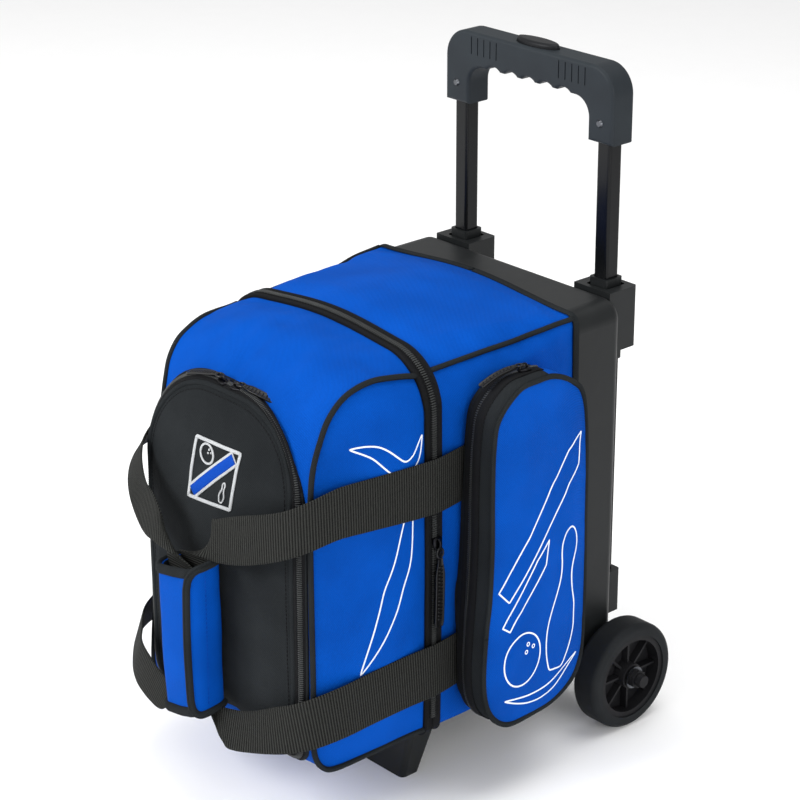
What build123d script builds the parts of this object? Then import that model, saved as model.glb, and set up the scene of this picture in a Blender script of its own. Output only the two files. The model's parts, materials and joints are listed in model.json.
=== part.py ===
from build123d import *
import os

# Single-ball roller bag with a telescoping trolley handle.
# Millimetres, +Z up, the bag's front faces -Y, X = 0 is the middle of the bag's body.
# The origin is the middle of the bounding box's underside, on the ground.

# --- driving dimensions of the bag
bag_width = 255.0
bag_bottom = 62.0
bag_top = 405.0
panel = 4.0
corner_r = 18.0
frame_y = 121.5
zip_y = frame_y - 165.0
lid_depth = 106.0
lid_taper = 5.0
lid_front_y = zip_y - 1.0 - lid_depth
gap = 0.5

# --- driving dimensions of the trolley
frame_depth = 59.6
frame_wall = 4.0
tube_x = 90.0
tube_y = frame_y + 77.0
outer_tube = 20.8
middle_tube = 18.4
inner_tube = 16.0
collar_top = 414.0
grip_bottom = 538.0
grip_top = 606.0
grip_depth = 27.0
grip_half_width = 105.0

# --- driving dimensions of the wheels
wheel_y = frame_y + 51.0
wheel_r = 50.9
wheel_inner_x = 135.0
wheel_width = 29.0
axle_r = 4.95

# --- driving dimensions of the pockets and straps
side_pocket_depth = 50.0
side_pocket_split = 23.0
side_pocket_bottom = 73.0
side_pocket_height = 311.0
side_pocket_width = 120.0
side_pocket_rear_y = frame_y - 25.0
front_pocket_depth = 16.0
front_pocket_half = 98.0
front_pocket_bottom = 85.0
front_pocket_top = 385.0
webbing_width = 50.0
webbing = 2.0
wrap_front_y = -223.4
wrap_bottom = 100.0
wrap_width = 80.0

os.makedirs("parts", exist_ok=True)


def save(piece, name):
    """Labels a finished piece and writes its STEP file."""
    piece.part.label = name
    export_step(piece.part, f"parts/{name}.step")


def side_name(side):
    return "right" if side > 0 else "left"


# ---------------------------------------------------------------- trolley frame

def rear_frame():
    """Moulded tray behind the bag, with a beam below it that carries both axles."""
    middle_z = (bag_bottom + bag_top) / 2
    height = bag_top - bag_bottom
    beam_y = frame_y + 30.0
    beam_bottom = 37.0
    beam_depth = frame_depth - 30.0
    with BuildPart() as frame:
        with BuildSketch(Plane.XZ.offset(-frame_y)):
            with Locations((0, middle_z)):
                RectangleRounded(bag_width, height, corner_r)
        extrude(amount=-frame_depth)
        back_face = frame.faces().sort_by(Axis.Y)[-1]
        fillet(back_face.edges(), radius=9)
        with BuildSketch(Plane.XZ.offset(-frame_y)):
            with Locations((0, middle_z)):
                RectangleRounded(bag_width - 2 * frame_wall, height - 2 * frame_wall, corner_r - frame_wall)
        extrude(amount=-(frame_depth - frame_wall), mode=Mode.SUBTRACT)
        for rib_x in (-60.0, 0.0, 60.0):
            with Locations((rib_x, frame_y + frame_depth - frame_wall - 4.0, middle_z)):
                Box(3.0, 10.0, height - 2 * frame_wall)
        with Locations((0, beam_y + beam_depth / 2, (beam_bottom + bag_bottom + 6.0) / 2)):
            Box(bag_width, beam_depth, bag_bottom + 6.0 - beam_bottom)
        with Locations(Plane.YZ.offset(-bag_width / 2)):
            with Locations((wheel_y, wheel_r)):
                Cylinder(axle_r + 0.05, 2 * bag_width, align=(Align.CENTER,) * 3, mode=Mode.SUBTRACT)
    save(frame, "rear_frame")


def upper_housing(side):
    """Block on the frame's back that holds the outer tube's mouth, with a socket for the collar."""
    with BuildPart() as housing:
        with BuildSketch(Plane((side * tube_x, tube_y, 350.0))):
            Rectangle(44.0, 34.8)
        extrude(amount=57.0)
        fillet(housing.edges().filter_by(Axis.Z).group_by(Axis.Y)[-1], radius=3)
        with BuildSketch(Plane((side * tube_x, tube_y, 337.0))):
            RectangleRounded(24.0, 24.0, 4)
        extrude(amount=14.0)
        with BuildSketch(Plane((side * tube_x, tube_y, 337.0))):
            RectangleRounded(outer_tube + 0.1, outer_tube + 0.1, 3.5)
        extrude(amount=80.0, mode=Mode.SUBTRACT)
        with BuildSketch(Plane((side * tube_x, tube_y, 392.5))):
            RectangleRounded(25.0, 25.0, 3)
        extrude(amount=20.0, mode=Mode.SUBTRACT)
    save(housing, f"upper_housing_{side_name(side)}")


def lower_bracket(side):
    """Clamp block that holds the outer tube's lower end on the frame's back."""
    with BuildPart() as bracket:
        with BuildSketch(Plane((side * tube_x, tube_y - 0.7, 84.0))):
            Rectangle(30.0, 33.2)
        extrude(amount=42.0)
        fillet(bracket.edges().filter_by(Axis.Z).group_by(Axis.Y)[-1], radius=4)
        with BuildSketch(Plane((side * tube_x, tube_y, 88.0))):
            RectangleRounded(outer_tube + 0.1, outer_tube + 0.1, 3.5)
        extrude(amount=60.0, mode=Mode.SUBTRACT)
    save(bracket, f"lower_bracket_{side_name(side)}")


def square_tube(name, x, size, wall, radius, low, high):
    """A straight square tube with rounded corners, standing between two heights."""
    with BuildPart() as tube:
        with BuildSketch(Plane((x, tube_y, low))):
            RectangleRounded(size, size, radius)
            RectangleRounded(size - 2 * wall, size - 2 * wall, radius - wall, mode=Mode.SUBTRACT)
        extrude(amount=high - low)
    save(tube, name)


def middle_collar(side):
    """Plastic ferrule on the middle tube's mouth, which the inner tube slides through."""
    tube_end = 404.0
    with BuildPart() as collar:
        with BuildSketch(Plane((side * tube_x, tube_y, 393.5))):
            RectangleRounded(20.6, 20.6, 2.5)
        extrude(amount=collar_top - 393.5)
        with BuildSketch(Plane((side * tube_x, tube_y, collar_top - 5.0))):
            RectangleRounded(21.6, 21.6, 3)
        extrude(amount=5.0)
        with BuildSketch(Plane((side * tube_x, tube_y, 393.0))):
            RectangleRounded(inner_tube + 0.7, inner_tube + 0.7, 3)
        extrude(amount=40.0, mode=Mode.SUBTRACT)
        with BuildSketch(Plane((side * tube_x, tube_y, 393.0))):
            RectangleRounded(middle_tube + 0.02, middle_tube + 0.02, 3)
        extrude(amount=tube_end - 393.0, mode=Mode.SUBTRACT)
    save(collar, f"middle_collar_{side_name(side)}")


def inner_glides():
    """Plugs in the inner tubes' lower ends, with a flange that guides them in the middle tubes."""
    low = 214.0
    with BuildPart() as glides:
        for side in (-1, 1):
            with BuildSketch(Plane((side * tube_x, tube_y, low))):
                RectangleRounded(inner_tube + 0.5, inner_tube + 0.5, 3)
            extrude(amount=8.0)
            with BuildSketch(Plane((side * tube_x, tube_y, low + 8.0))):
                RectangleRounded(13.5, 13.5, 1.7)
            extrude(amount=14.0)
    save(glides, "inner_glides")


# ---------------------------------------------------------------- grip

def grip_half(front):
    """Half of the moulded U grip: two legs on the inner tubes and a bar with finger scallops."""
    leg_width = 30.0
    bar_height = 31.0
    bar_under = grip_top - bar_height
    direction = -1.0 if front else 1.0
    inner_half = grip_half_width - leg_width
    scallops = 5
    scallop_pitch = 22.0
    groove_pitch = 8.0
    with BuildPart() as grip:
        with BuildSketch(Plane.XZ.offset(-tube_y)):
            with BuildLine():
                FilletPolyline(
                    (-grip_half_width, grip_bottom),
                    (-grip_half_width, grip_top),
                    (grip_half_width, grip_top),
                    (grip_half_width, grip_bottom),
                    radius=26,
                )
                Line((grip_half_width, grip_bottom), (inner_half, grip_bottom))
                FilletPolyline(
                    (inner_half, grip_bottom),
                    (inner_half, bar_under),
                    (-inner_half, bar_under),
                    (-inner_half, grip_bottom),
                    radius=17,
                )
                Line((-inner_half, grip_bottom), (-grip_half_width, grip_bottom))
            make_face()
            for step in range(scallops):
                with Locations(((step - (scallops - 1) / 2) * scallop_pitch, bar_under - 8.5)):
                    Circle(12.0, mode=Mode.SUBTRACT)
        extrude(amount=-direction * grip_depth / 2)
        outer_face = grip.faces().sort_by(Axis.Y)[0 if front else -1]
        fillet(outer_face.edges(), radius=3.5)
        for end in (-1, 1):
            for step in range(5):
                groove_x = end * (39.0 + groove_pitch * step)
                with Locations((groove_x, tube_y + direction * grip_depth / 2, grip_top - 12.0)):
                    Box(1.2, 1.6, 16.0, mode=Mode.SUBTRACT)
        for side in (-1, 1):
            with BuildSketch(Plane((side * tube_x, tube_y, grip_bottom - 1.0))):
                RectangleRounded(inner_tube + 0.1, inner_tube + 0.1, 3)
            extrude(amount=43.0, mode=Mode.SUBTRACT)
        with Locations((0, tube_y, 586.8)):
            Box(194.0, 14.0, 14.6, mode=Mode.SUBTRACT)
        with BuildSketch(Plane((0, tube_y, 586.8))):
            Ellipse(25.6, 9.6)
        extrude(amount=30.0, mode=Mode.SUBTRACT)
        if front:
            for side in (-1, 1):
                with Locations(Plane((side * tube_x, tube_y - 10.0, 556.0), z_dir=(0, 1, 0))):
                    Cylinder(1.6, 12.0, mode=Mode.SUBTRACT)
    save(grip, "grip_front_shell" if front else "grip_rear_shell")


def release_parts():
    """Push button, the yoke whose rods run down both inner tubes, and the return spring's ring."""
    with BuildPart() as button:
        with BuildSketch(Plane((0, tube_y, 591.2))):
            Ellipse(25.0, 9.0)
        extrude(amount=19.6)
        fillet(button.faces().sort_by(Axis.Z)[-1].edges(), radius=3)
    save(button, "grip_button")
    with BuildPart() as yoke:
        with Locations((0, tube_y, 588.7)):
            Box(190.0, 9.0, 5.0)
        for side in (-1, 1):
            with BuildSketch(Plane((side * tube_x, tube_y, 244.0))):
                Circle(3.0)
            extrude(amount=343.0)
    save(yoke, "release_yoke")
    with BuildPart() as spring:
        with BuildSketch(Plane((0, tube_y, 579.6))):
            Circle(5.0)
            Circle(3.8, mode=Mode.SUBTRACT)
        extrude(amount=6.5)
    save(spring, "button_spring")


def grip_screws():
    """Two dome-head screws through the grip's front shell into the inner tubes."""
    face_y = tube_y - grip_depth / 2
    with BuildPart() as screws:
        for side in (-1, 1):
            with BuildSketch(Plane((side * tube_x, face_y, 556.0), z_dir=(0, -1, 0))):
                Circle(3.4)
            extrude(amount=1.6, taper=30)
            with BuildSketch(Plane((side * tube_x, face_y, 556.0), z_dir=(0, 1, 0))):
                Circle(1.55)
            extrude(amount=5.4)
    save(screws, "grip_screws")


# ---------------------------------------------------------------- wheels

def wheel(side):
    """One tyre, its eight-spoke hub and the bush in the hub's bore."""
    rim_r = 40.0
    bore_r = 7.5
    inner = Plane((side * wheel_inner_x, wheel_y, wheel_r), z_dir=(side, 0, 0))
    with BuildPart() as tyre:
        with BuildSketch(inner):
            Circle(wheel_r)
        extrude(amount=wheel_width)
        fillet(tyre.edges(), radius=6)
        with BuildSketch(inner):
            Circle(rim_r)
        extrude(amount=wheel_width, mode=Mode.SUBTRACT)
    save(tyre, f"tyre_{side_name(side)}")
    with BuildPart() as hub:
        with BuildSketch(inner.offset(1.0)):
            Circle(rim_r)
            Circle(rim_r - 5.0, mode=Mode.SUBTRACT)
        extrude(amount=wheel_width - 2.5)
        with BuildSketch(inner.offset(12.0)):
            Circle(rim_r - 3.0)
        extrude(amount=2.5)
        with BuildSketch(inner.offset(1.0)):
            Circle(12.0)
        extrude(amount=wheel_width - 2.5)
        with BuildSketch(inner.offset(6.0)):
            with PolarLocations((rim_r + 8.0) / 2, 8):
                Rectangle(rim_r - 14.0, 2.2)
        extrude(amount=16.0)
        with BuildSketch(inner):
            Circle(bore_r)
        extrude(amount=wheel_width, mode=Mode.SUBTRACT)
    save(hub, f"hub_{side_name(side)}")
    with BuildPart() as bush:
        with BuildSketch(inner.offset(0.5)):
            Circle(bore_r)
            Circle(axle_r + 0.05, mode=Mode.SUBTRACT)
        extrude(amount=wheel_width - 1.5)
    save(bush, f"wheel_bush_{side_name(side)}")


def axle_bolt(side):
    """Shoulder bolt from inside the frame's beam, through the wheel, to its end cap."""
    start = Plane((side * 104.0, wheel_y, wheel_r), z_dir=(side, 0, 0))
    with BuildPart() as bolt:
        with BuildSketch(start):
            Circle(axle_r)
        extrude(amount=68.0)
        with BuildSketch(start.offset(24.0)):
            Circle(9.0)
        extrude(amount=6.5)
    save(bolt, f"axle_bolt_{side_name(side)}")


def axle_fasteners():
    """Steel washers, lock nuts and push-on end caps outside both wheels."""
    with BuildPart() as washers:
        for side in (-1, 1):
            with BuildSketch(Plane((side * 164.4, wheel_y, wheel_r), z_dir=(side, 0, 0))):
                Circle(10.5)
                Circle(axle_r + 0.05, mode=Mode.SUBTRACT)
            extrude(amount=1.2)
    save(washers, "axle_washers")
    with BuildPart() as nuts:
        for side in (-1, 1):
            with BuildSketch(Plane((side * 165.7, wheel_y, wheel_r), z_dir=(side, 0, 0))):
                RegularPolygon(9.0, 6)
                Circle(axle_r + 0.02, mode=Mode.SUBTRACT)
            extrude(amount=5.3)
    save(nuts, "axle_nuts")
    with BuildPart() as caps:
        for side in (-1, 1):
            with BuildSketch(Plane((side * 172.1, wheel_y, wheel_r), z_dir=(side, 0, 0))):
                Circle(6.6)
            extrude(amount=5.4, taper=10)
    save(caps, "axle_caps")


# ---------------------------------------------------------------- bag body

def body_shell():
    """The bag's padded rear compartment: five walls, open at the main zip."""
    middle_z = (bag_bottom + bag_top) / 2
    height = bag_top - bag_bottom
    depth = frame_y - gap - zip_y
    with BuildPart() as shell:
        with BuildSketch(Plane.XZ.offset(-zip_y)):
            with Locations((0, middle_z)):
                RectangleRounded(bag_width, height, corner_r)
        extrude(amount=-depth)
        with BuildSketch(Plane.XZ.offset(-zip_y)):
            with Locations((0, middle_z)):
                RectangleRounded(bag_width - 2 * panel, height - 2 * panel, corner_r - panel)
        extrude(amount=-(depth - panel), mode=Mode.SUBTRACT)
    save(shell, "body_shell")


def base_board_and_cup():
    """Stiff board on the compartment's floor and the foam cup that seats the ball."""
    board_low = bag_bottom + panel + 0.1
    board_depth = 150.0
    cup_low = board_low + 3.1
    cup_height = 18.0
    ball_r = 110.0
    ball_y = frame_y - 114.0
    with BuildPart() as board:
        with Locations((0, zip_y + 8.0 + board_depth / 2, board_low + 1.5)):
            Box(210.0, board_depth, 3.0)
    save(board, "base_board")
    with BuildPart() as cup:
        with Locations((0, zip_y + 6.0 + board_depth / 2, cup_low + cup_height / 2)):
            Box(190.0, board_depth - 4.0, cup_height)
        with Locations((0, ball_y, cup_low + 3.5 + ball_r)):
            Sphere(ball_r, mode=Mode.SUBTRACT)
    save(cup, "ball_cup")


def front_stand():
    """Moulded foot bar under the compartment's front edge, wider at the top, open upwards."""
    top = bag_bottom - 0.1
    foot_y = frame_y - 158.0
    top_y = zip_y + 17.2
    with BuildPart() as stand:
        with BuildSketch(Plane((0, foot_y, 0))):
            RectangleRounded(184.0, 21.0, 5)
        with BuildSketch(Plane((0, top_y, top))):
            RectangleRounded(206.0, 34.0, 5)
        loft()
        with BuildSketch(Plane((0, foot_y, 8.0))):
            RectangleRounded(176.0, 13.0, 2)
        with BuildSketch(Plane((0, top_y, top))):
            RectangleRounded(198.0, 26.0, 2)
        loft(mode=Mode.SUBTRACT)
    save(stand, "front_stand")


def fixings():
    """Screws that hold the housings and brackets to the frame, and rivets through the base board."""
    back_y = frame_y + frame_depth - frame_wall - 0.1
    with BuildPart() as screws:
        for side in (-1, 1):
            for x_step, height in ((16.0, 362.0), (-16.0, 362.0)):
                with BuildSketch(Plane((side * tube_x + x_step, back_y, height), z_dir=(0, -1, 0))):
                    Circle(4.0)
                extrude(amount=2.2)
    save(screws, "frame_screws")
    with BuildPart() as rivets:
        for side in (-1, 1):
            for rivet_x in (30.0, 80.0):
                with BuildSketch(Plane((side * rivet_x, zip_y + 130.0, bag_bottom - 2.2))):
                    Circle(5.0)
                extrude(amount=2.1)
    save(rivets, "base_rivets")


def zip_band(name, low_y, width):
    """Zip tape and its binding: an inverted U that follows the shell's sides and top."""
    thickness = 3.0
    reach = 9.0
    outer_width = bag_width + 2 * thickness + 0.2
    with BuildPart() as band:
        with BuildSketch(Plane.XZ.offset(-low_y)):
            with Locations((0, (bag_bottom + reach + bag_top + thickness) / 2)):
                Rectangle(outer_width, bag_top + thickness - bag_bottom - reach)
            with Locations((0, (bag_bottom + bag_top) / 2)):
                RectangleRounded(bag_width + 0.2, bag_top - bag_bottom + 0.2, corner_r, mode=Mode.SUBTRACT)
        extrude(amount=-width)
        fillet(band.edges().filter_by(Axis.Y).group_by(Axis.Z)[-1], radius=corner_r + thickness)
    save(band, name)


# ---------------------------------------------------------------- lid

def lid_solid(inset, depth, plane_y):
    """The lid's tapered form: the rear outline drawn forward, its top corner rolled over."""
    height = bag_top - bag_bottom - 2 * inset
    front_y = plane_y - depth
    middle_z = (bag_bottom + bag_top) / 2
    with BuildPart() as form:
        with BuildSketch(Plane.XZ.offset(-plane_y)):
            with Locations((0, middle_z)):
                RectangleRounded(bag_width - 2 * inset, height, corner_r - inset)
        extrude(amount=depth, taper=lid_taper)
        with BuildSketch(Plane.YZ.offset(-bag_width)) as profile:
            with BuildLine():
                FilletPolyline(
                    (plane_y + 1.0, bag_bottom + inset),
                    (front_y, bag_bottom + inset + 8.0),
                    (front_y, bag_top - inset - 6.0),
                    (plane_y + 1.0, bag_top - inset),
                    radius=[26 - inset, 62 - inset],
                )
                Line((plane_y + 1.0, bag_top - inset), (plane_y + 1.0, bag_bottom + inset))
            make_face()
        extrude(amount=2 * bag_width, mode=Mode.INTERSECT)
    return form.part


def lid_shell():
    """The bag's padded front half: hollow, open at the main zip, hinged along its lower edge."""
    lid_y = zip_y - gap
    hollow = lid_solid(panel, lid_depth - panel, lid_y)
    with BuildPart() as lid:
        add(lid_solid(0.0, lid_depth, lid_y))
        add(hollow, mode=Mode.SUBTRACT)
    save(lid, "lid_shell")


def front_pocket():
    """Accessory pocket on the lid's front: a shallow tray with an arched top, open to the lid."""
    face_wall = 3.0
    back_y = lid_front_y - gap
    arch_r = 92.0
    with BuildPart() as pocket:
        with BuildSketch(Plane.XZ.offset(-back_y)) as outline:
            with BuildLine():
                FilletPolyline(
                    (front_pocket_half, front_pocket_bottom),
                    (front_pocket_half, front_pocket_top),
                    (-front_pocket_half, front_pocket_top),
                    (-front_pocket_half, front_pocket_bottom),
                    radius=arch_r,
                )
                Line((-front_pocket_half, front_pocket_bottom), (front_pocket_half, front_pocket_bottom))
            make_face()
        extrude(amount=front_pocket_depth)
        with BuildSketch(Plane.XZ.offset(-back_y)):
            offset(outline.sketch, amount=-face_wall)
        extrude(amount=front_pocket_depth - face_wall, mode=Mode.SUBTRACT)
    save(pocket, "front_pocket")
    with BuildPart() as patch:
        with BuildSketch(Plane.XZ.offset(-(back_y - front_pocket_depth - 0.1))):
            with Locations((0, 307.0)):
                Rectangle(50.0, 50.0, rotation=45)
        extrude(amount=1.0)
    save(patch, "emblem_patch")


# ---------------------------------------------------------------- side pocket

def side_pocket():
    """Shoe pocket: a base ring sewn to the bag's right side and a tray that opens on its rear edge."""
    wall = 3.0
    middle = (side_pocket_rear_y - side_pocket_width / 2, side_pocket_bottom + side_pocket_height / 2)
    base_plane = Plane((bag_width / 2 + 0.1, 0, 0), x_dir=(0, 1, 0), z_dir=(1, 0, 0))
    flap_plane = Plane((bag_width / 2 + side_pocket_split + gap, 0, 0), x_dir=(0, 1, 0), z_dir=(1, 0, 0))
    flap_depth = side_pocket_depth - side_pocket_split - gap
    with BuildPart() as base:
        with BuildSketch(base_plane):
            with Locations(middle):
                RectangleRounded(side_pocket_width, side_pocket_height, 44)
        extrude(amount=side_pocket_split - 0.1)
        with BuildSketch(base_plane.offset(wall)):
            with Locations(middle):
                RectangleRounded(side_pocket_width - 2 * wall, side_pocket_height - 2 * wall, 44 - wall)
        extrude(amount=side_pocket_split, mode=Mode.SUBTRACT)
    save(base, "side_pocket_base")
    with BuildPart() as flap:
        with BuildSketch(flap_plane):
            with Locations(middle):
                RectangleRounded(side_pocket_width, side_pocket_height, 44)
        extrude(amount=flap_depth)
        rim = flap.faces().sort_by(Axis.X)[-1]
        fillet(rim.edges(), radius=5)
        with BuildSketch(flap_plane):
            with Locations(middle):
                RectangleRounded(side_pocket_width - 2 * wall, side_pocket_height - 2 * wall, 44 - wall)
        extrude(amount=flap_depth - wall, mode=Mode.SUBTRACT)
    save(flap, "side_pocket_flap")


# ---------------------------------------------------------------- zip sliders and pulls

def block(name, low, high, radius):
    """A small moulded piece between two corners, with its edges rounded."""
    size = [high[axis] - low[axis] for axis in range(3)]
    middle = [(high[axis] + low[axis]) / 2 for axis in range(3)]
    with BuildPart() as piece:
        with Locations(tuple(middle)):
            Box(*size)
        fillet(piece.edges(), radius=radius)
    save(piece, name)


def sliders_and_pulls():
    """Zip sliders and their pull tabs: main zip, front pocket and side pocket."""
    side_x = bag_width / 2 + 3.4
    block("main_slider", (side_x, zip_y - 6.5, 238.0), (side_x + 5.0, zip_y + 4.5, 253.0), 1.5)
    block("main_pull", (side_x + 5.6, zip_y - 6.0, 168.0), (side_x + 7.9, zip_y + 4.0, 240.0), 0.8)
    arch_y = lid_front_y - gap - 6.0
    arch_z = front_pocket_top + 0.4
    for side in (-1, 1):
        ends = sorted((side * 3.0, side * 16.0))
        block(
            f"front_slider_{side_name(side)}",
            (ends[0], arch_y - 5.0, arch_z),
            (ends[1], arch_y + 5.0, arch_z + 4.0),
            1.5,
        )
        hanging = Plane(
            (side * 14.0, arch_y, arch_z + 4.6),
            x_dir=(side * 0.97, 0, -0.243),
            z_dir=(side * 0.243, 0, 0.97),
        )
        with BuildPart(hanging) as pull:
            Box(46.0, 8.0, 2.0, align=(Align.MIN, Align.CENTER, Align.MIN))
            fillet(pull.edges(), radius=0.8)
        save(pull, f"front_pull_{side_name(side)}")
    ring_x = bag_width / 2 + side_pocket_split
    slider_y = side_pocket_rear_y - 54.0
    top_z = side_pocket_bottom + side_pocket_height + 0.4
    block("side_slider", (ring_x - 5.0, slider_y - 13.0, top_z), (ring_x + 5.0, slider_y, top_z + 4.0), 1.5)
    block(
        "side_pull",
        (ring_x - 4.0, slider_y - 56.0, top_z + 4.6),
        (ring_x + 4.0, slider_y - 10.0, top_z + 6.6),
        0.8,
    )


# ---------------------------------------------------------------- carry straps

def carry_strap(side):
    """Webbing loop: two runs round the bag's front corner, joined by a run down the wrap."""
    upper_z = 262.0
    lower_z = 88.0
    stack_y = frame_y - (322.0 if side > 0 else 326.0)
    route = [
        (side * 128.8, frame_y - 145.8),
        (side * 132.4, frame_y - 149.8),
        (side * 135.0, frame_y - 195.0),
        (side * 134.0, frame_y - 262.0),
        (side * 118.0, frame_y - 305.0),
        (side * 76.0, stack_y + 1.0),
        (-side * webbing_width / 2, stack_y),
    ]
    with BuildPart() as strap:
        for low_z in (lower_z, upper_z):
            with BuildSketch(Plane.XY.offset(low_z)):
                with BuildLine() as path:
                    FilletPolyline(*route, radius=[3, 14, 14, 14, 14])
                trace(path.line, line_width=webbing)
            extrude(amount=webbing_width)
        with Locations((0, stack_y, (wrap_bottom - 0.5 + upper_z) / 2)):
            Box(wrap_width + 6.0, 30.0, upper_z - wrap_bottom + 0.5, mode=Mode.SUBTRACT)
        with Locations((0, stack_y, (lower_z + upper_z + webbing_width) / 2)):
            Box(webbing_width, webbing, upper_z + webbing_width - lower_z)
    save(strap, f"carry_strap_{side_name(side)}")


def handle_wrap():
    """Padded sleeve that holds both webbing loops together in front of the pocket."""
    depth = 40.0
    pad = 5.0
    with BuildPart() as wrap:
        with BuildSketch(Plane((0, wrap_front_y + depth / 2, wrap_bottom))):
            RectangleRounded(wrap_width, depth, 15)
            RectangleRounded(wrap_width - 2 * pad, depth - 2 * pad, 10, mode=Mode.SUBTRACT)
        extrude(amount=132.0)
    save(wrap, "handle_wrap")


rear_frame()
for side in (-1, 1):
    upper_housing(side)
    lower_bracket(side)
    square_tube(f"outer_tube_{side_name(side)}", side * tube_x, outer_tube, 0.9, 3.5, 88.0, 392.0)
    square_tube(f"middle_tube_{side_name(side)}", side * tube_x, middle_tube, 0.8, 3.0, 90.0, 404.0)
    square_tube(f"inner_tube_{side_name(side)}", side * tube_x, inner_tube, 1.2, 3.0, 222.0, 580.0)
    middle_collar(side)
    wheel(side)
    axle_bolt(side)
    carry_strap(side)
inner_glides()
grip_half(True)
grip_half(False)
release_parts()
grip_screws()
axle_fasteners()
body_shell()
base_board_and_cup()
front_stand()
fixings()
zip_band("body_zip_band", zip_y + 0.5, 13.5)
zip_band("lid_zip_band", zip_y - 11.5, 11.0)
lid_shell()
front_pocket()
side_pocket()
sliders_and_pulls()
handle_wrap()
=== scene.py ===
import json
import math

import bpy
import numpy as np
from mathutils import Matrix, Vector, noise
from mathutils.bvhtree import BVHTree

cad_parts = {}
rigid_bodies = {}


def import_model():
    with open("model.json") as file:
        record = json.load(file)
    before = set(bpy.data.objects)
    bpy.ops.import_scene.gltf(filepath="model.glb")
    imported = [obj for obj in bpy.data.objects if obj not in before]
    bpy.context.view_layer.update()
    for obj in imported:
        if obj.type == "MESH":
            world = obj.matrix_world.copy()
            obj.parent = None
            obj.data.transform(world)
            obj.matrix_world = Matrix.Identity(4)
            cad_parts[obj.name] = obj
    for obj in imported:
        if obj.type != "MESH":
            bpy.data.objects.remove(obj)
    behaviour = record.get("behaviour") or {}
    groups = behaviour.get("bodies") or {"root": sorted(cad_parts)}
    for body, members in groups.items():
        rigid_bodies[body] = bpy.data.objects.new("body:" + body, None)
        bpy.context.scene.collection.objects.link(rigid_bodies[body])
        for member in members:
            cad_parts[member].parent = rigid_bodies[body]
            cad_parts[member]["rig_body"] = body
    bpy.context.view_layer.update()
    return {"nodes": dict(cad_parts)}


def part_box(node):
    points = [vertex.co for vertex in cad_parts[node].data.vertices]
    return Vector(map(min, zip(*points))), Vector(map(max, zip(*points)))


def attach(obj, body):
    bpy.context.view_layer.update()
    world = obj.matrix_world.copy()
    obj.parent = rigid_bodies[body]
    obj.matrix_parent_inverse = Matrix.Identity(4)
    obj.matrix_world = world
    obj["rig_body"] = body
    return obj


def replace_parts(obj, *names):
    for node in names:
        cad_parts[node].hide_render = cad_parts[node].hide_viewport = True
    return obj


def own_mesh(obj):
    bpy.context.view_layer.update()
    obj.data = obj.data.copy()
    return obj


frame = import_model()

# Lengths below are millimetres in the frame of the CAD model, and become metres as each mesh is made.
MM = 0.001
body_low, body_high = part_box("body_shell")
HALF = body_high.x / MM
BASE = body_low.z / MM
TOP = body_high.z / MM
FRAME_Y = body_high.y / MM + 0.5
ZIP_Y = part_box("lid_zip_band")[1].y / MM - 1.5


# ---------------------------------------------------------------- curves and outlines

def ease(value):
    value = np.clip(value, 0.0, 1.0)
    return value * value * (3 - 2 * value)


def mix(a, b, share):
    return a + (b - a) * share


def unit(vectors):
    """Vectors along the last axis, made one long."""
    return vectors / np.maximum(np.linalg.norm(vectors, axis=-1, keepdims=True), 1e-9)


def distances(points):
    """Distance of each point from the first along a polyline."""
    return np.concatenate([[0], np.cumsum(np.linalg.norm(np.diff(points, axis=0), axis=1))])


def nearest(points, place):
    """Index of the point nearest to a place."""
    return int(np.argmin(np.linalg.norm(points - place, axis=1)))


def onward(start, end, count):
    """Indices from one point of a closed outline forward to another."""
    return (start + np.arange((end - start) % count + 1)) % count


def turn(count):
    """Angles of a full turn, evenly spaced."""
    return np.linspace(0, 2 * math.pi, count + 1)[:-1]


def oval(middle, radii, count):
    """Closed outline of an ellipse, as pairs."""
    return [(middle[0] + radii[0] * math.cos(a), middle[1] + radii[1] * math.sin(a)) for a in turn(count)]


def resample(dense, count, closed=False):
    """Points evenly spaced along a polyline; a closed one doesn't repeat its first point."""
    dense = np.array(dense, float)
    along = distances(dense[:, :3])
    wanted = np.linspace(0, along[-1], count + 1)[:-1] if closed else np.linspace(0, along[-1], count)
    return np.stack([np.interp(wanted, along, dense[:, axis]) for axis in range(dense.shape[1])], axis=1)


def spline(points, count, closed=False):
    """Catmull-Rom curve through points of any dimension, evenly spaced along its length."""
    pts = np.array(points, float)
    total = len(pts)
    dense = []
    for span in range(total if closed else total - 1):
        index = [span - 1, span, span + 1, span + 2]
        index = [i % total if closed else min(max(i, 0), total - 1) for i in index]
        p0, p1, p2, p3 = pts[index]
        for t in np.linspace(0, 1, 24, endpoint=False):
            dense.append(
                0.5 * (2 * p1 + (p2 - p0) * t + (2 * p0 - 5 * p1 + 4 * p2 - p3) * t**2
                       + (3 * p1 - p0 - 3 * p2 + p3) * t**3)
            )
    dense.append(pts[0] if closed else pts[-1])
    return resample(dense, count, closed)


def rounded(corners, radii, count):
    """Closed outline of a polygon with a radius at each corner, evenly sampled."""
    pts = [np.array(c, float) for c in corners]
    dense = []
    for i, corner in enumerate(pts):
        to_last = unit(pts[i - 1] - corner)
        to_next = unit(pts[(i + 1) % len(pts)] - corner)
        half = math.acos(np.clip(to_last @ to_next, -1, 1)) / 2
        start = corner + to_last * radii[i] / math.tan(half)
        end = corner + to_next * radii[i] / math.tan(half)
        centre = corner + unit(to_last + to_next) * radii[i] / math.sin(half)
        for share in np.linspace(0, 1, 17):
            dense.append(centre + unit(mix(start, end, share) - centre) * radii[i])
    dense.append(dense[0])
    return resample(dense, count, closed=True)


def ruffle(point, scale, seed):
    """Smooth noise from about -1 to 1, at a wavelength in millimetres."""
    return noise.noise(Vector(point) / scale + Vector((seed, 1.7 * seed, 3.1 * seed)))


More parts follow.
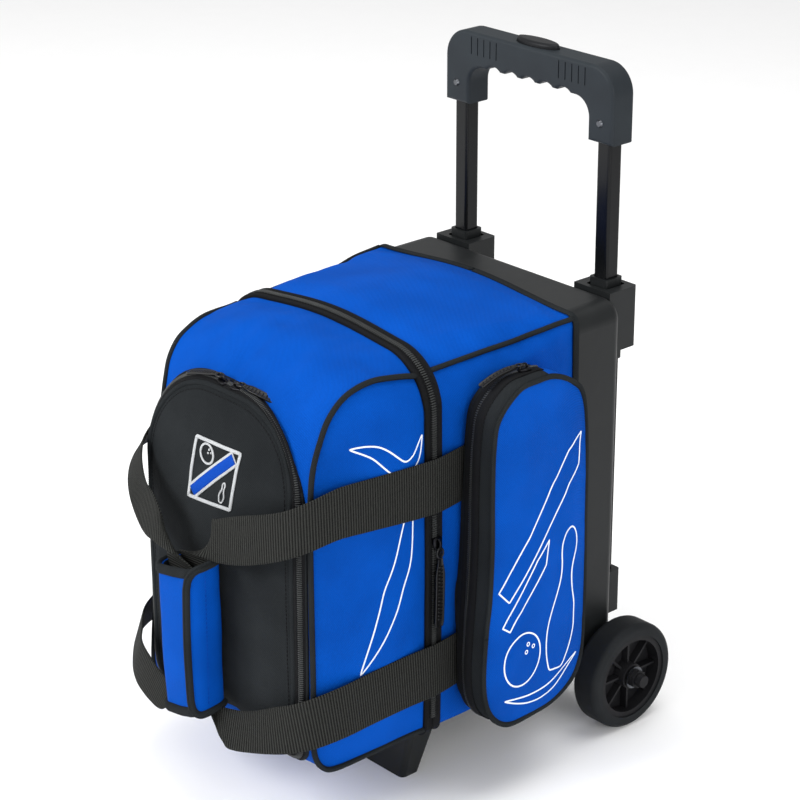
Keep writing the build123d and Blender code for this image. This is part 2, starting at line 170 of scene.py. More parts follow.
def coons(low, high, start, end, rows, columns):
    """Grid of points filling four boundary curves; low and high run the same way, as do start and end."""
    low, high = resample(low, columns), resample(high, columns)
    start, end = resample(start, rows), resample(end, rows)
    v, u = np.meshgrid(np.linspace(0, 1, rows), np.linspace(0, 1, columns), indexing="ij")
    u, v = u[..., None], v[..., None]
    ruled = mix(low[None], high[None], v) + mix(start[:, None], end[:, None], u)
    corners = mix(mix(low[0], low[-1], u), mix(high[0], high[-1], u), v)
    return ruled - corners


def swell(rows, columns, power):
    """How far each point of a sewn panel stands up from its edges, from 0 to 1."""
    v, u = np.meshgrid(np.linspace(0, 1, rows), np.linspace(0, 1, columns), indexing="ij")
    return np.clip(16 * u * (1 - u) * v * (1 - v), 0, 1) ** power


def normals_of(grid):
    """Unit normals of a grid of points."""
    across = np.gradient(grid, axis=1)
    along = np.gradient(grid, axis=0)
    return unit(np.cross(across, along))


# ---------------------------------------------------------------- materials

def linear(colour):
    """Linear colour of an sRGB one that is given from 0 to 255."""
    return tuple(((c / 255 + 0.055) / 1.055) ** 2.4 if c > 10.3 else c / 255 / 12.92 for c in colour) + (1.0,)


class Nodes:
    """A material's node tree, with short calls for the nodes that the finishes share."""

    def __init__(self, name, roughness, **sockets):
        self.material = bpy.data.materials.new(name)
        self.material.use_nodes = True
        self.tree = self.material.node_tree
        self.shader = self.tree.nodes["Principled BSDF"]
        self.shader.inputs["Roughness"].default_value = roughness
        for socket, value in sockets.items():
            self.shader.inputs[socket.replace("_", " ")].default_value = value
        self.coordinates = self.tree.nodes.new("ShaderNodeTexCoord")

    def add(self, kind, inputs, **settings):
        node = self.tree.nodes.new(kind)
        for key, value in settings.items():
            setattr(node, key, value)
        for key, value in inputs.items():
            if isinstance(value, bpy.types.NodeSocket):
                self.tree.links.new(value, node.inputs[key])
            else:
                node.inputs[key].default_value = value
        return node

    def math(self, operation, a, b, c=0.5):
        return self.add("ShaderNodeMath", {0: a, 1: b, 2: c}, operation=operation).outputs[0]

    def noise(self, per_metre, detail=3.0, roughness=0.55, stretch=(1, 1, 1)):
        scaled = self.add("ShaderNodeMapping", {"Vector": self.coordinates.outputs["Object"], "Scale": stretch})
        return self.add(
            "ShaderNodeTexNoise",
            {"Vector": scaled.outputs[0], "Scale": per_metre, "Detail": detail, "Roughness": roughness},
        ).outputs[0]

    def weave(self, pitch_u, pitch_v):
        """Height of a plain weave, and of its ribs alone, on the mesh's surface coordinates in millimetres."""
        surface = self.add("ShaderNodeAttribute", {}, attribute_name="weave").outputs["Vector"]
        scale = (2 * math.pi / pitch_u, 2 * math.pi / pitch_v, 1.0)
        turned = self.add("ShaderNodeVectorMath", {0: surface, 1: scale}, operation="MULTIPLY").outputs[0]
        wave = self.add("ShaderNodeVectorMath", {0: turned}, operation="SINE").outputs[0]
        parts = self.add("ShaderNodeSeparateXYZ", {0: wave})
        return self.math("MULTIPLY", parts.outputs[0], parts.outputs[1]), parts.outputs[0]

    def ramp(self, fac, stops):
        node = self.tree.nodes.new("ShaderNodeValToRGB")
        node.color_ramp.elements[0].position, node.color_ramp.elements[1].position = stops[0][0], stops[-1][0]
        node.color_ramp.elements[0].color, node.color_ramp.elements[1].color = stops[0][1], stops[-1][1]
        for position, colour in stops[1:-1]:
            node.color_ramp.elements.new(position).color = colour
        self.tree.links.new(fac, node.inputs[0])
        return node.outputs[0]

    def colour(self, socket):
        self.tree.links.new(socket, self.shader.inputs["Base Color"])

    def bump(self, height, distance, under=None):
        inputs = {"Height": height, "Distance": distance * MM, "Strength": 1.0}
        if under is not None:
            inputs["Normal"] = under
        return self.add("ShaderNodeBump", inputs).outputs[0]

    def finish(self, normal):
        self.tree.links.new(normal, self.shader.inputs["Normal"])
        return self.material


def cloth(name, colour, shade, pitch, depth=0.16, roughness=0.72, sheen=0.25):
    """Coated polyester: a plain weave with slubs, a broad change of tone, and a soft sheen."""
    n = Nodes(name, roughness, Sheen_Weight=sheen, Sheen_Roughness=0.45, Specular_IOR_Level=0.04)
    n.shader.inputs["Sheen Tint"].default_value = linear(colour)
    weave, _ = n.weave(pitch, pitch)
    broad = n.noise(14, 2.0)
    fine = n.noise(900, 2.0, 0.7)
    tone = n.math("MULTIPLY_ADD", broad, 0.65, n.math("MULTIPLY_ADD", weave, 0.36, n.math("MULTIPLY", fine, 0.35)))
    n.colour(n.ramp(tone, [(0.22, linear(shade)), (0.78, linear(colour))]))
    slub = n.bump(n.noise(420, 3.0, 0.6), 0.12)
    return n.finish(n.bump(weave, depth, slub))


def ribbed(name, colour, shade, rib, depth, sheen=0.2):
    """Woven webbing or tape: ribs across its length, broken by the warp threads along it. The ribs' crests are
    painted lighter and their grooves darker, as painted highlight and painted shade.
    """
    n = Nodes(name, 0.7, Sheen_Weight=sheen, Sheen_Roughness=0.5, Specular_IOR_Level=0.05)
    n.shader.inputs["Sheen Tint"].default_value = linear(colour)
    weave, ribs = n.weave(rib, rib * 0.62)
    ridges = n.math("MULTIPLY_ADD", ribs, 0.75, n.math("MULTIPLY", weave, 0.35))
    fuzz = n.noise(700, 2.0, 0.7)
    # Tone follows the rib height: painted highlight on the crests and painted shade in the grooves, over a random
    # fuzz of tone.
    tone = n.math("MULTIPLY_ADD", ridges, 0.34, n.math("MULTIPLY_ADD", fuzz, 0.5, 0.25))
    n.colour(n.ramp(tone, [(0.2, linear(shade)), (0.8, linear(colour))]))
    return n.finish(n.bump(ridges, depth, n.bump(fuzz, 0.1)))


def moulded(name, colour, shade, roughness, grain, depth, coat=0.0, scuffs=0.0, gleam=0.1):
    """Moulded plastic, rubber or enamel: a fine grain, uneven gloss and a slight change of tone."""
    n = Nodes(name, roughness, Coat_Weight=coat, Coat_Roughness=0.12, Specular_IOR_Level=gleam)
    fine = n.noise(grain, 3.0, 0.6)
    broad = n.noise(22, 3.0, 0.6)
    n.colour(n.ramp(broad, [(0.3, linear(shade)), (0.7, linear(colour))]))
    gloss = n.math("MULTIPLY_ADD", broad, 0.16, n.math("MULTIPLY_ADD", fine, 0.1, roughness - 0.13))
    n.tree.links.new(gloss, n.shader.inputs["Roughness"])
    soft = n.bump(broad, scuffs + 0.05)
    return n.finish(n.bump(fine, depth, soft))


def metal(name, colour, shade, roughness):
    """Plated or painted metal with fine brushing and small tarnish."""
    n = Nodes(name, roughness, Metallic=1.0)
    brushed = n.noise(1400, 2.0, 0.6, (1, 1, 0.08))
    n.colour(n.ramp(n.noise(260, 3.0), [(0.3, linear(shade)), (0.7, linear(colour))]))
    return n.finish(n.bump(brushed, 0.03))


FINISH = {
    "blue_fabric": cloth("blue_fabric", (2, 81, 184), (0, 56, 136), pitch=1.5, sheen=0.05),
    "black_fabric": cloth("black_fabric", (42, 45, 47), (20, 22, 24), pitch=1.6, roughness=0.8, sheen=0.05),
    # In the ribbed finishes the darker colour is painted shade in the grooves between ribs, and the lighter one is
    # painted highlight on the crests.
    "zip_tape": ribbed("zip_tape", (30, 31, 33), (15, 15, 16), 0.9, 0.12, sheen=0.05),
    "webbing": ribbed("webbing", (56, 57, 55), (9, 9, 9), 2.5, 0.45, sheen=0.06),
    "foam": moulded("foam", (60, 60, 62), (42, 42, 44), 0.95, 600, 0.5),
    "board": moulded("board", (34, 34, 36), (24, 24, 26), 0.75, 300, 0.15),
    "frame_plastic": moulded("frame_plastic", (26, 28, 29), (19, 21, 22), 0.42, 1500, 0.05, scuffs=0.05, gleam=0.2),
    "grip_plastic": moulded("grip_plastic", (41, 46, 50), (36, 40, 44), 0.5, 1500, 0.05, scuffs=0.05),
    "button_plastic": moulded("button_plastic", (30, 31, 33), (22, 23, 25), 0.4, 1500, 0.03),
    "tube_enamel": moulded("tube_enamel", (12, 13, 15), (7, 8, 10), 0.24, 900, 0.02, coat=0.06, gleam=0.14),
    "tyre_compound": moulded("tyre_compound", (31, 33, 35), (22, 24, 26), 0.62, 900, 0.08),
    "hub_plastic": moulded("hub_plastic", (30, 30, 32), (20, 20, 22), 0.48, 1200, 0.05),
    "steel": metal("steel", (98, 100, 104), (74, 76, 80), 0.36),
    "slider_metal": metal("slider_metal", (44, 44, 47), (26, 26, 28), 0.36),
    "patch": cloth("patch", (236, 238, 240), (206, 210, 214), pitch=0.7, depth=0.3, roughness=0.85),
    "lining": cloth("lining", (46, 47, 50), (30, 30, 32), pitch=0.7, roughness=0.9, sheen=0.05),
    "print": moulded("print", (232, 238, 246), (214, 222, 234), 0.6, 700, 0.08),
    "thread": ribbed("thread", (30, 30, 32), (14, 14, 15), 1.2, 0.1),
    "blue_thread": ribbed("blue_thread", (14, 74, 176), (4, 48, 132), 1.2, 0.1),
    "pull_metal": moulded("pull_metal", (18, 18, 19), (10, 10, 11), 0.34, 1100, 0.05, coat=0.1, gleam=0.25),
    "coil": moulded("coil", (58, 60, 60), (38, 40, 40), 0.42, 1100, 0.05, gleam=0.3),
}

for node in frame["nodes"].values():
    for index, slot in enumerate(node.material_slots):
        node.data.materials[index] = FINISH.get(slot.material.name.split(".")[0], FINISH["frame_plastic"])


# ---------------------------------------------------------------- meshes

def grid_faces(rows, columns, close_rows, close_columns):
    """Quads between rows of vertices; either direction can close on itself."""
    faces = []
    for r in range(rows if close_rows else rows - 1):
        for c in range(columns if close_columns else columns - 1):
            r2, c2 = (r + 1) % rows, (c + 1) % columns
            faces.append((r * columns + c, r * columns + c2, r2 * columns + c2, r2 * columns + c))
    return faces


def piece(name, verts, faces, finish, body, surface=None, inner=None):
    """A mesh object in metres that rides on a CAD body, with its finish and its surface coordinates."""
    mesh = bpy.data.meshes.new(name)
    verts = np.array(verts, float).reshape(-1, 3)
    mesh.from_pydata((verts * MM).tolist(), [], faces)
    for key in [finish] + ([inner] if inner else []):
        mesh.materials.append(FINISH[key])
    layer = mesh.attributes.new("weave", "FLOAT_VECTOR", "POINT")
    surface = verts if surface is None else np.array(surface, float)
    layer.data.foreach_set("vector", surface.astype(np.float32).ravel())
    mesh.polygons.foreach_set("use_smooth", [True] * len(mesh.polygons))
    mesh.update()
    obj = bpy.data.objects.new(name, mesh)
    bpy.context.scene.collection.objects.link(obj)
    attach(obj, body)
    return obj


def surface_of(grid):
    """Distances along both directions of a grid, which the weave follows."""
    u = np.linalg.norm(np.diff(grid, axis=1, prepend=grid[:, :1]), axis=2).cumsum(axis=1)
    v = np.linalg.norm(np.diff(grid, axis=0, prepend=grid[:1]), axis=2).cumsum(axis=0)
    u -= u[:, u.shape[1] // 2, None]
    return np.stack([u, v, np.zeros_like(u)], axis=2).reshape(-1, 3)


def panel(name, grid, finish, body, thickness, inner, inside, close_columns=False):
    """A cloth panel on a grid of points, thickened towards its inner side, which a point on the inside tells."""
    rows, columns = grid.shape[:2]
    faces = grid_faces(rows, columns, False, close_columns)
    middle = grid[rows // 2, columns // 2]
    if normals_of(grid)[rows // 2, columns // 2] @ (np.array(inside, float) - middle) > 0:
        faces = [tuple(reversed(f)) for f in faces]
    obj = piece(name, grid.reshape(-1, 3), faces, finish, body, surface_of(grid), inner)
    solid = obj.modifiers.new("thickness", "SOLIDIFY")
    solid.thickness = thickness * MM
    solid.offset = -1
    solid.material_offset = 1 if inner else 0
    solid.use_even_offset = False
    return obj


def axes_along(path, closed=False, up=None):
    """Tangent, side and normal at each point of a path; up holds the surface normal where it has one."""
    path = np.array(path, float)
    tangents = unit(np.roll(path, -1, axis=0) - np.roll(path, 1, axis=0) if closed else np.gradient(path, axis=0))
    normals = []
    guide = np.array([0.31, 0.27, 0.91])
    for i, tangent in enumerate(tangents):
        if up is not None:
            guide = np.array(up[i], float)
        guide = unit(guide - tangent * (guide @ tangent))
        normals.append(guide)
    normals = np.array(normals)
    return tangents, np.cross(normals, tangents), normals


def swept(name, path, section, finish, body, closed=False, up=None, scale=None):
    """A solid swept along a path; the section is a ring of (across, up) points."""
    path = np.array(path, float)
    section = np.array(section, float)
    _, across, normals = axes_along(path, closed, up)
    along = distances(path)
    size = np.ones((len(path), 2)) if scale is None else np.array(scale, float).reshape(len(path), -1) * [1, 1]
    ring = (path[:, None] + across[:, None] * (section[None, :, :1] * size[:, None, :1])
            + normals[:, None] * (section[None, :, 1:] * size[:, None, 1:]))
    sides = len(section)
    around = distances(section)
    surface = np.stack(np.broadcast_arrays(along[:, None], around[None, :], 0.0), axis=2).reshape(-1, 3)
    faces = [tuple(reversed(f)) for f in grid_faces(len(path), sides, closed, True)]
    if not closed:
        faces.append(tuple(range(sides)))
        faces.append(tuple(reversed(range((len(path) - 1) * sides, len(path) * sides))))
    return piece(name, ring.reshape(-1, 3), faces, finish, body, surface)


def circle(radius, sides=8):
    angles = [2 * math.pi * k / sides for k in range(sides)]
    return [(radius * math.cos(a), radius * math.sin(a)) for a in angles]


def flat(width, thickness):
    """Section of a band that lies on the surface, with softened edges."""
    half = width / 2
    edge = min(thickness * 0.6, half * 0.3)
    return [(-half, 0), (-half, thickness * 0.55), (-half + edge, thickness), (0, thickness * 1.08),
            (half - edge, thickness), (half, thickness * 0.55), (half, 0)][::-1]


def beads(name, path, normals, size, pitch, finish, body, closed=False):
    """Small rounded blocks along a path: zip teeth or stitches. Size is along, across, high."""
    both = np.hstack([np.array(path, float), np.array(normals, float)])
    if closed:
        both = np.vstack([both, both[:1]])
    length = np.linalg.norm(np.diff(both[:, :3], axis=0), axis=1).sum()
    both = resample(both, max(2, int(length / pitch)), closed)
    points = both[:, :3]
    tangents, across, ups = axes_along(points, closed, both[:, 3:])
    outline = np.array([(-0.5, -0.34), (-0.34, -0.5), (0.34, -0.5), (0.5, -0.34),
                        (0.5, 0.34), (0.34, 0.5), (-0.34, 0.5), (-0.5, 0.34)]) * size[:2]
    verts = []
    for height, share in ((-0.2, 1.0), (0.6, 1.0), (1.0, 0.6)):
        verts.append(points[:, None] + tangents[:, None] * outline[None, :, :1] * share
                     + across[:, None] * outline[None, :, 1:] * share + ups[:, None] * height * size[2])
    verts = np.stack(verts, axis=1)
    sides = len(outline)
    faces = []
    for start in range(0, len(points) * 3 * sides, 3 * sides):
        for ring in (start, start + sides):
            for k in range(sides):
                after = (k + 1) % sides
                faces.append((ring + k, ring + after, ring + sides + after, ring + sides + k))
        faces.append(tuple(range(start + 2 * sides, start + 3 * sides)))
    return piece(name, verts.reshape(-1, 3), faces, finish, body)


# ---------------------------------------------------------------- bag body

def corner_of(y):
    """How far a depth is from the frame to the zip, as a share, with the corner's radius and the top's height."""
    share = np.clip((FRAME_Y - y) / (FRAME_Y - ZIP_Y), 0, 1.05)
    return share, mix(8.0, 43.0, share), TOP + 1.6 * share


def hoop(y, count, lift=0.0):
    """The bag's cross-section at a depth, from the right foot over the top to the left foot, with its normals."""
    share, radius, top = corner_of(y)
    crown = 8.0 + 5.0 * math.sin(math.pi * min(share, 1.0)) + 1.0 * share
    foot = 10.0
    dense = [(HALF, z) for z in np.linspace(BASE + foot, top - radius, 60)]
    for angle in np.linspace(0, math.pi / 2, 40)[1:]:
        dense.append((HALF - radius + radius * math.cos(angle), top - radius + radius * math.sin(angle)))
    dense += [(x, top) for x in np.linspace(HALF - radius, 0, 50)[1:]]
    for angle in np.linspace(0, math.pi / 2, 12)[1:]:
        dense.insert(0, (HALF - foot + foot * math.cos(angle), BASE + foot - foot * math.sin(angle)))
    dense = np.array(dense)
    dense[:, 1] += crown * np.cos(np.clip(dense[:, 0] / HALF, 0, 1) * math.pi / 2) ** 2 * (dense[:, 1] > top - radius)
    tall = np.clip((dense[:, 1] - BASE) / (top - BASE), 0, 1)
    dense[:, 0] += 1.5 * np.sin(math.pi * tall) * (dense[:, 0] > HALF - 1)
    mirrored = dense[::-1][1:] * [-1, 1]
    loop = np.vstack([dense, mirrored])
    steps = np.gradient(loop, axis=0)
    out = unit(np.stack([steps[:, 1], -steps[:, 0]], axis=1))
    loop = loop + out * lift
    loop = np.stack([loop[:, 0], np.full(len(loop), y), loop[:, 1]], axis=1)
    return resample(np.hstack([loop, out[:, :1], np.zeros((len(out), 1)), out[:, 1:]]), count)


def corner_point(y, side, lift):
    """A point outside the corner between the top and a side, at a depth."""
    _, radius, top = corner_of(y)
    reach = (radius + lift) * math.sqrt(0.5)
    return np.array((side * (HALF - radius + reach), y, top - radius + reach))


BAND_REAR = ZIP_Y + 9.5
BAND_FRONT = ZIP_Y - 8.5
LOOP = 300          # points round the bag's skin
BAND_LOOP = 420     # points round the zip band
INSIDE = (0, 40, 240)
LID_INSIDE = (0, -90, 240)
POCKET_INSIDE = (0, -120, 225)
STITCH = (2.4, 0.7, 0.4)    # along, across and high
STITCH_PITCH = 3.6

# The shell's skin, from the frame to the zip band, with its shallow wrinkles.
depths = np.linspace(FRAME_Y + 2.0, BAND_REAR, 64)
skin = np.stack([hoop(y, LOOP)[:, :3] for y in depths], axis=0)
out = np.stack([hoop(y, LOOP)[:, 3:] for y in depths], axis=0)
edge_fade = swell(len(depths), LOOP, 0.35)
for r, y in enumerate(depths):
    for c in range(LOOP):
        point = skin[r, c]
        near_top = ease((point[2] - 330) / 60)
        pucker = ruffle((point[0] * 0.5, point[1] * 1.4, point[2] * 0.7), 26, 3)
        broad = ruffle(point, 70, 8)
        skin[r, c] = point + out[r, c] * edge_fade[r, c] * (0.8 * pucker * near_top + 1.6 * broad)
body_skin = panel("body_skin", skin, "blue_fabric", "bag_body", 3.6, "lining", INSIDE)
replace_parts(body_skin, "body_shell")

floor_rows = np.array([[(x, y, BASE) for x in np.linspace(-HALF + 10, HALF - 10, 24)]
                       for y in np.linspace(FRAME_Y - 0.5, BAND_REAR, 16)])
panel("body_floor", floor_rows, "black_fabric", "bag_body", 3.6, "lining", INSIDE)
rear_rows = np.array([[(x, FRAME_Y - 1.0, mix(BASE + 2, TOP - 3 + 8 * math.cos(x / HALF * math.pi / 2) ** 2, t))
                       for x in np.linspace(-HALF + 4, HALF - 4, 40)] for t in np.linspace(0, 1, 24)])
panel("body_back_lining", rear_rows, "lining", "bag_body", 3.0, "lining", INSIDE)

for side, label in ((1, "right"), (-1, "left")):
    loop = hoop(FRAME_Y + 0.8, 400, 0.8)
    keep = loop[:, 0] * side > 0
    binding = loop[keep] if side > 0 else loop[keep][::-1]
    tall = binding[binding[:, 2] > BASE + 12]
    swept(f"frame_binding_{label}", tall[:, :3], flat(7.0, 1.2), "black_fabric", "bag_body", up=tall[:, 3:])

# The two halves of the zip band, each with a rolled edge, a stitched tape and a row of teeth.
for label, body, edge_y, sign in (("body", "bag_body", BAND_REAR, 1), ("lid", "lid", BAND_FRONT, -1)):
    profile = ((edge_y + sign * 0.8, -0.6), (edge_y, 2.2), (edge_y - sign * 1.2, 3.4), (edge_y - sign * 3.0, 2.6),
               (ZIP_Y + sign * 4.4, 2.3), (ZIP_Y + sign * 0.5, 2.3))
    rows = np.stack([hoop(y, BAND_LOOP, lift)[:, :3] for y, lift in profile], axis=0)
    band = panel(f"{label}_zip_tape", rows, "zip_tape", body, 2.2, None, (0, ZIP_Y, 240))
    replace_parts(band, f"{label}_zip_band")
    for part, offset, lift, size, pitch, finish in (
        ("zip_teeth", 1.0, 2.6, (1.25, 2.9, 1.3), 2.1, "coil"),
        ("band_stitch_3", 3.1, 2.5, (2.4, 0.7, 0.35), STITCH_PITCH, "thread"),
        ("band_stitch_5", 5.9, 2.5, (2.4, 0.7, 0.35), STITCH_PITCH, "thread"),
    ):
        line = hoop(ZIP_Y + sign * offset, BAND_LOOP, lift)
        line = line[line[:, 2] > BASE + 16]
        beads(f"{label}_{part}", line[:, :3], line[:, 3:], size, pitch, finish, body)

# ---------------------------------------------------------------- lid

RIGHT_EDGE = spline([
    (115.6, BAND_FRONT, 395.0), (116.6, -66, 398.5), (117.0, -84, 402.0), (116.6, -101.5, 404.0),
    (115.6, -119, 401.5), (114.6, -134, 394.5), (113.6, -147, 380.5), (113.0, -155.5, 362), (112.6, -161.5, 344),
    (112.6, -164.5, 325), (113.0, -166.3, 290), (113.5, -166.8, 220), (114.0, -166.8, 148), (114.6, -168.5, 108),
    (115.6, -167.5, 82), (117.0, -160, 68), (119.5, -147, 64), (122.5, -112, 66), (124.5, -80, 68),
    (126.0, BAND_FRONT, 68),
], 220)
LEFT_EDGE = spline([
    (-115.6, BAND_FRONT, 394.0), (-112.5, -66, 394.5), (-108.5, -84, 396), (-104, -101.5, 396.5),
    (-100.5, -118, 393), (-98.8, -132.5, 385.5), (-97, -143.5, 372), (-95.5, -149.5, 355), (-94.8, -153.5, 338),
    (-95.5, -157, 320), (-98.5, -162.5, 288), (-102.2, -165, 219), (-103.6, -165, 147), (-105.5, -166.7, 107.5),
    (-108.5, -165.7, 82), (-112.5, -158.5, 68), (-116.5, -146, 64), (-121, -112, 66), (-124, -80, 68),
    (-126.0, BAND_FRONT, 68),
], 220)

# The strip that makes the lid's top, front and underside, between its two edges.
columns = 90
strip = np.zeros((len(RIGHT_EDGE), columns, 3))
profile = RIGHT_EDGE[:, 1:]
slope = np.gradient(profile, axis=0)
outward = unit(np.stack([slope[:, 1], -slope[:, 0]], axis=1))
run = distances(profile)
band_hoop = hoop(BAND_FRONT, 900)
band_top = band_hoop[band_hoop[:, 2] > 394.5]
for r in range(len(RIGHT_EDGE)):
    near_band = 1 - ease(run[r] / 48)
    on_top = 1 - ease((run[r] - 70) / 60)
    under = ease((run[r] - run[-1] + 110) / 50)
    crown = mix(4.0, 11.0, on_top) * (1 - under)
    for c, xi in enumerate(np.linspace(1, -1, columns)):
        share = (1 - xi) / 2
        x, depth, level = mix(RIGHT_EDGE[r], LEFT_EDGE[r], share)
        arched = np.interp(-x, -band_top[:, 0], band_top[:, 2]) - 395.0
        plain = crown * (1 - abs(xi) ** 2.4)
        height = mix(plain, arched, near_band)
        fade = (1 - abs(xi) ** 6) * ease(run[r] / 12)
        height += fade * (2.2 * ruffle((x, depth, level), 55, 5) * on_top
                          + 0.9 * ruffle((x * 1.3, depth * 0.6, level * 0.6), 21, 9) * (0.3 + on_top))
        crease = ruffle((x * 0.45 + level * 0.8, depth * 0.5, level * 0.3), 17, 21)
        height += fade * 1.5 * crease * ease((level - 330) / 30) * ease((run[r] - 14) / 30)
        out_y, out_z = outward[r] if near_band < 0.01 else mix(outward[r], np.array((0.0, 1.0)), near_band)
        strip[r, c] = (x, depth + out_y * height, level + out_z * height)
lid_strip = panel("lid_front_skin", strip, "blue_fabric", "lid", 3.2, "lining", LID_INSIDE)
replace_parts(lid_strip, "lid_shell")

lid_sides = []
for side, label, edge, full in ((1, "right", RIGHT_EDGE, 6.5), (-1, "left", LEFT_EDGE, 2.0)):
    hoop_side = hoop(BAND_FRONT, 900)
    hoop_side = hoop_side[(hoop_side[:, 0] * side > 0) & (hoop_side[:, 2] < 395.2) & (hoop_side[:, 2] > 67)][:, :3]
    if hoop_side[0, 2] < hoop_side[-1, 2]:
        hoop_side = hoop_side[::-1]
    hoop_side = hoop_side[::-1]
    top_corner, low_corner = 58, 176
    rows, cols = 96, 48
    grid = coons(edge[low_corner:][::-1], edge[:top_corner + 1], hoop_side,
                 edge[top_corner:low_corner + 1][::-1], rows, cols)
    grid[:, 0] = resample(hoop_side, rows)
    hill = swell(rows, cols, 0.55)
    for r in range(rows):
        for c in range(cols):
            point = grid[r, c]
            near_top = ease((point[2] - 300) / 80)
            fold = ruffle((0, point[1] * 1.1 + point[2] * 0.25, point[2] * 0.42), 24, 4 + side)
            grid[r, c, 0] += side * hill[r, c] * (full + 2.6 * fold * near_top + 1.2 * ruffle(point, 60, 2))
    lid_side = panel(f"lid_side_skin_{label}", grid, "blue_fabric", "lid", 3.2, "lining", LID_INSIDE)
    lid_sides.append((lid_side, grid))
    swept(f"lid_piping_{label}", edge + [side * 1.4, 0, 0], circle(2.5), "black_fabric", "lid")


# ---------------------------------------------------------------- helpers for what lies on a panel

def caster(obj):
    """Finds the surface of a piece along a ray, as a point and a normal in millimetres."""
    mesh = obj.data
    tree = BVHTree.FromPolygons([v.co / MM for v in mesh.vertices], [tuple(p.vertices) for p in mesh.polygons])

    def cast(origin, direction):
        hit, normal, _, _ = tree.ray_cast(Vector(origin), Vector(direction))
        if hit is None:
            hit, normal, _, _ = tree.find_nearest(Vector(origin) + Vector(direction) * 100)
        if normal.dot(Vector(direction)) > 0:
            normal = -normal
        return np.array(hit), np.array(normal)
    return cast


def filled(outline, corners, rows, columns):
    """Grid that fills a closed outline; corners are the four places where its sides meet, low first."""
    count = len(outline)

    def side(a, b):
        if (b - a) % count <= (a - b) % count:
            return outline[onward(a, b, count)]
        return outline[onward(b, a, count)[::-1]]
    low_left, low_right, high_right, high_left = [nearest(outline, c) for c in corners]
    return coons(side(low_left, low_right), side(high_left, high_right),
                 side(low_left, high_left), side(low_right, high_right), rows, columns)


def ribbon(name, edge_a, edge_b, finish, body, thickness, count):
    """Flat webbing between two edge curves, with a slight round across its width."""
    a, b = spline(edge_a, 400), spline(edge_b, 400)
    pairs = resample(np.hstack([(a + b) / 2, a, b]), count)
    a, b = pairs[:, 3:6], pairs[:, 6:9]
    middle = (a + b) / 2
    tangents = np.gradient(middle, axis=0)
    up = unit(np.cross(b - a, tangents))
    along = distances(middle)
    shape = [(0.0, 0.3), (0.02, 0.85), (0.06, 1.0), (0.3, 1.06), (0.5, 1.08), (0.7, 1.06), (0.94, 1.0), (0.98, 0.85),
             (1.0, 0.3), (1.0, -0.3), (0.98, -0.85), (0.94, -1.0), (0.5, -1.0), (0.06, -1.0), (0.02, -0.85),
             (0.0, -0.3)]
    verts, surface = [], []
    width = np.linalg.norm(b - a, axis=1)
    for i in range(count):
        for share, height in shape:
            verts.append(mix(a[i], b[i], share) + up[i] * height * thickness / 2)
            surface.append((along[i], share * width[i], 0))
    faces = grid_faces(count, len(shape), False, True)
    faces += [tuple(reversed(range(len(shape)))), tuple(range((count - 1) * len(shape), count * len(shape)))]
    return piece(name, verts, faces, finish, body, surface)


def printed(name, cast, points, start, direction, width, finish, body, closed, lift, height):
    """A line of ink or embroidery laid on a panel; its points are offsets from a start, cast along a direction."""
    path, up = [], []
    for point in points:
        hit, normal = cast(start + point, direction)
        path.append(hit + normal * lift)
        up.append(normal)
    return swept(name, path, flat(width, height), finish, body, closed=closed, up=up)


def settle(panels, cap, pressure):
    """Lets sewn panels fill out as cloth: their edges stay pinned, and no point moves further than the cap."""
    scene = bpy.context.scene
    for obj, grid in panels:
        rows, columns = grid.shape[:2]
        index = np.arange(rows * columns).reshape(rows, columns)
        edge = obj.vertex_groups.new(name="sewn")
        for weight, ring in ((1.0, 0), (0.6, 1), (0.25, 2)):
            inner = index[ring:rows - ring, ring:columns - ring]
            outer = np.concatenate([inner[0], inner[-1], inner[:, 0], inner[:, -1]])
            edge.add([int(i) for i in outer], weight, "REPLACE")
        for modifier in obj.modifiers:
            modifier.show_viewport = False
        cloth_sim = obj.modifiers.new("cloth", "CLOTH")
        obj.modifiers.move(len(obj.modifiers) - 1, 0)
        settings = cloth_sim.settings
        settings.quality = 5
        settings.mass = 0.25
        settings.tension_stiffness = settings.compression_stiffness = 12
        settings.shear_stiffness = 6
        settings.bending_stiffness = 0.6
        settings.vertex_group_mass = "sewn"
        settings.use_pressure = True
        settings.uniform_pressure_force = pressure
        settings.shrink_min = -0.012
        settings.effector_weights.gravity = 0
        cloth_sim.point_cache.frame_start, cloth_sim.point_cache.frame_end = 1, 20
    for step in range(1, 21):
        scene.frame_set(step)
    depsgraph = bpy.context.evaluated_depsgraph_get()
    for obj, grid in panels:
        shaped = obj.evaluated_get(depsgraph).data
        count = len(obj.data.vertices)
        moved, rest = np.zeros(count * 3), np.zeros(count * 3)
        shaped.vertices.foreach_get("co", moved)
        obj.data.vertices.foreach_get("co", rest)
        shift = (moved - rest).reshape(grid.shape)
        for _ in range(14):
            padded = np.pad(shift, ((1, 1), (1, 1), (0, 0)), mode="edge")
            shift = (padded[:-2, 1:-1] + padded[2:, 1:-1] + padded[1:-1, :-2] + padded[1:-1, 2:] + 2 * shift) / 6
        shift = shift.reshape(-1, 3)
        length = np.linalg.norm(shift, axis=1, keepdims=True)
        shift *= np.minimum(1, cap * MM / np.maximum(length, 1e-9))
        obj.modifiers.remove(obj.modifiers["cloth"])
        obj.vertex_groups.clear()
        obj.data.vertices.foreach_set("co", (rest.reshape(-1, 3) + shift).ravel())
        obj.data.update()
        for modifier in obj.modifiers:
            modifier.show_viewport = True
    scene.frame_set(1)


settle([(body_skin, skin)], 3.0, 1.6)

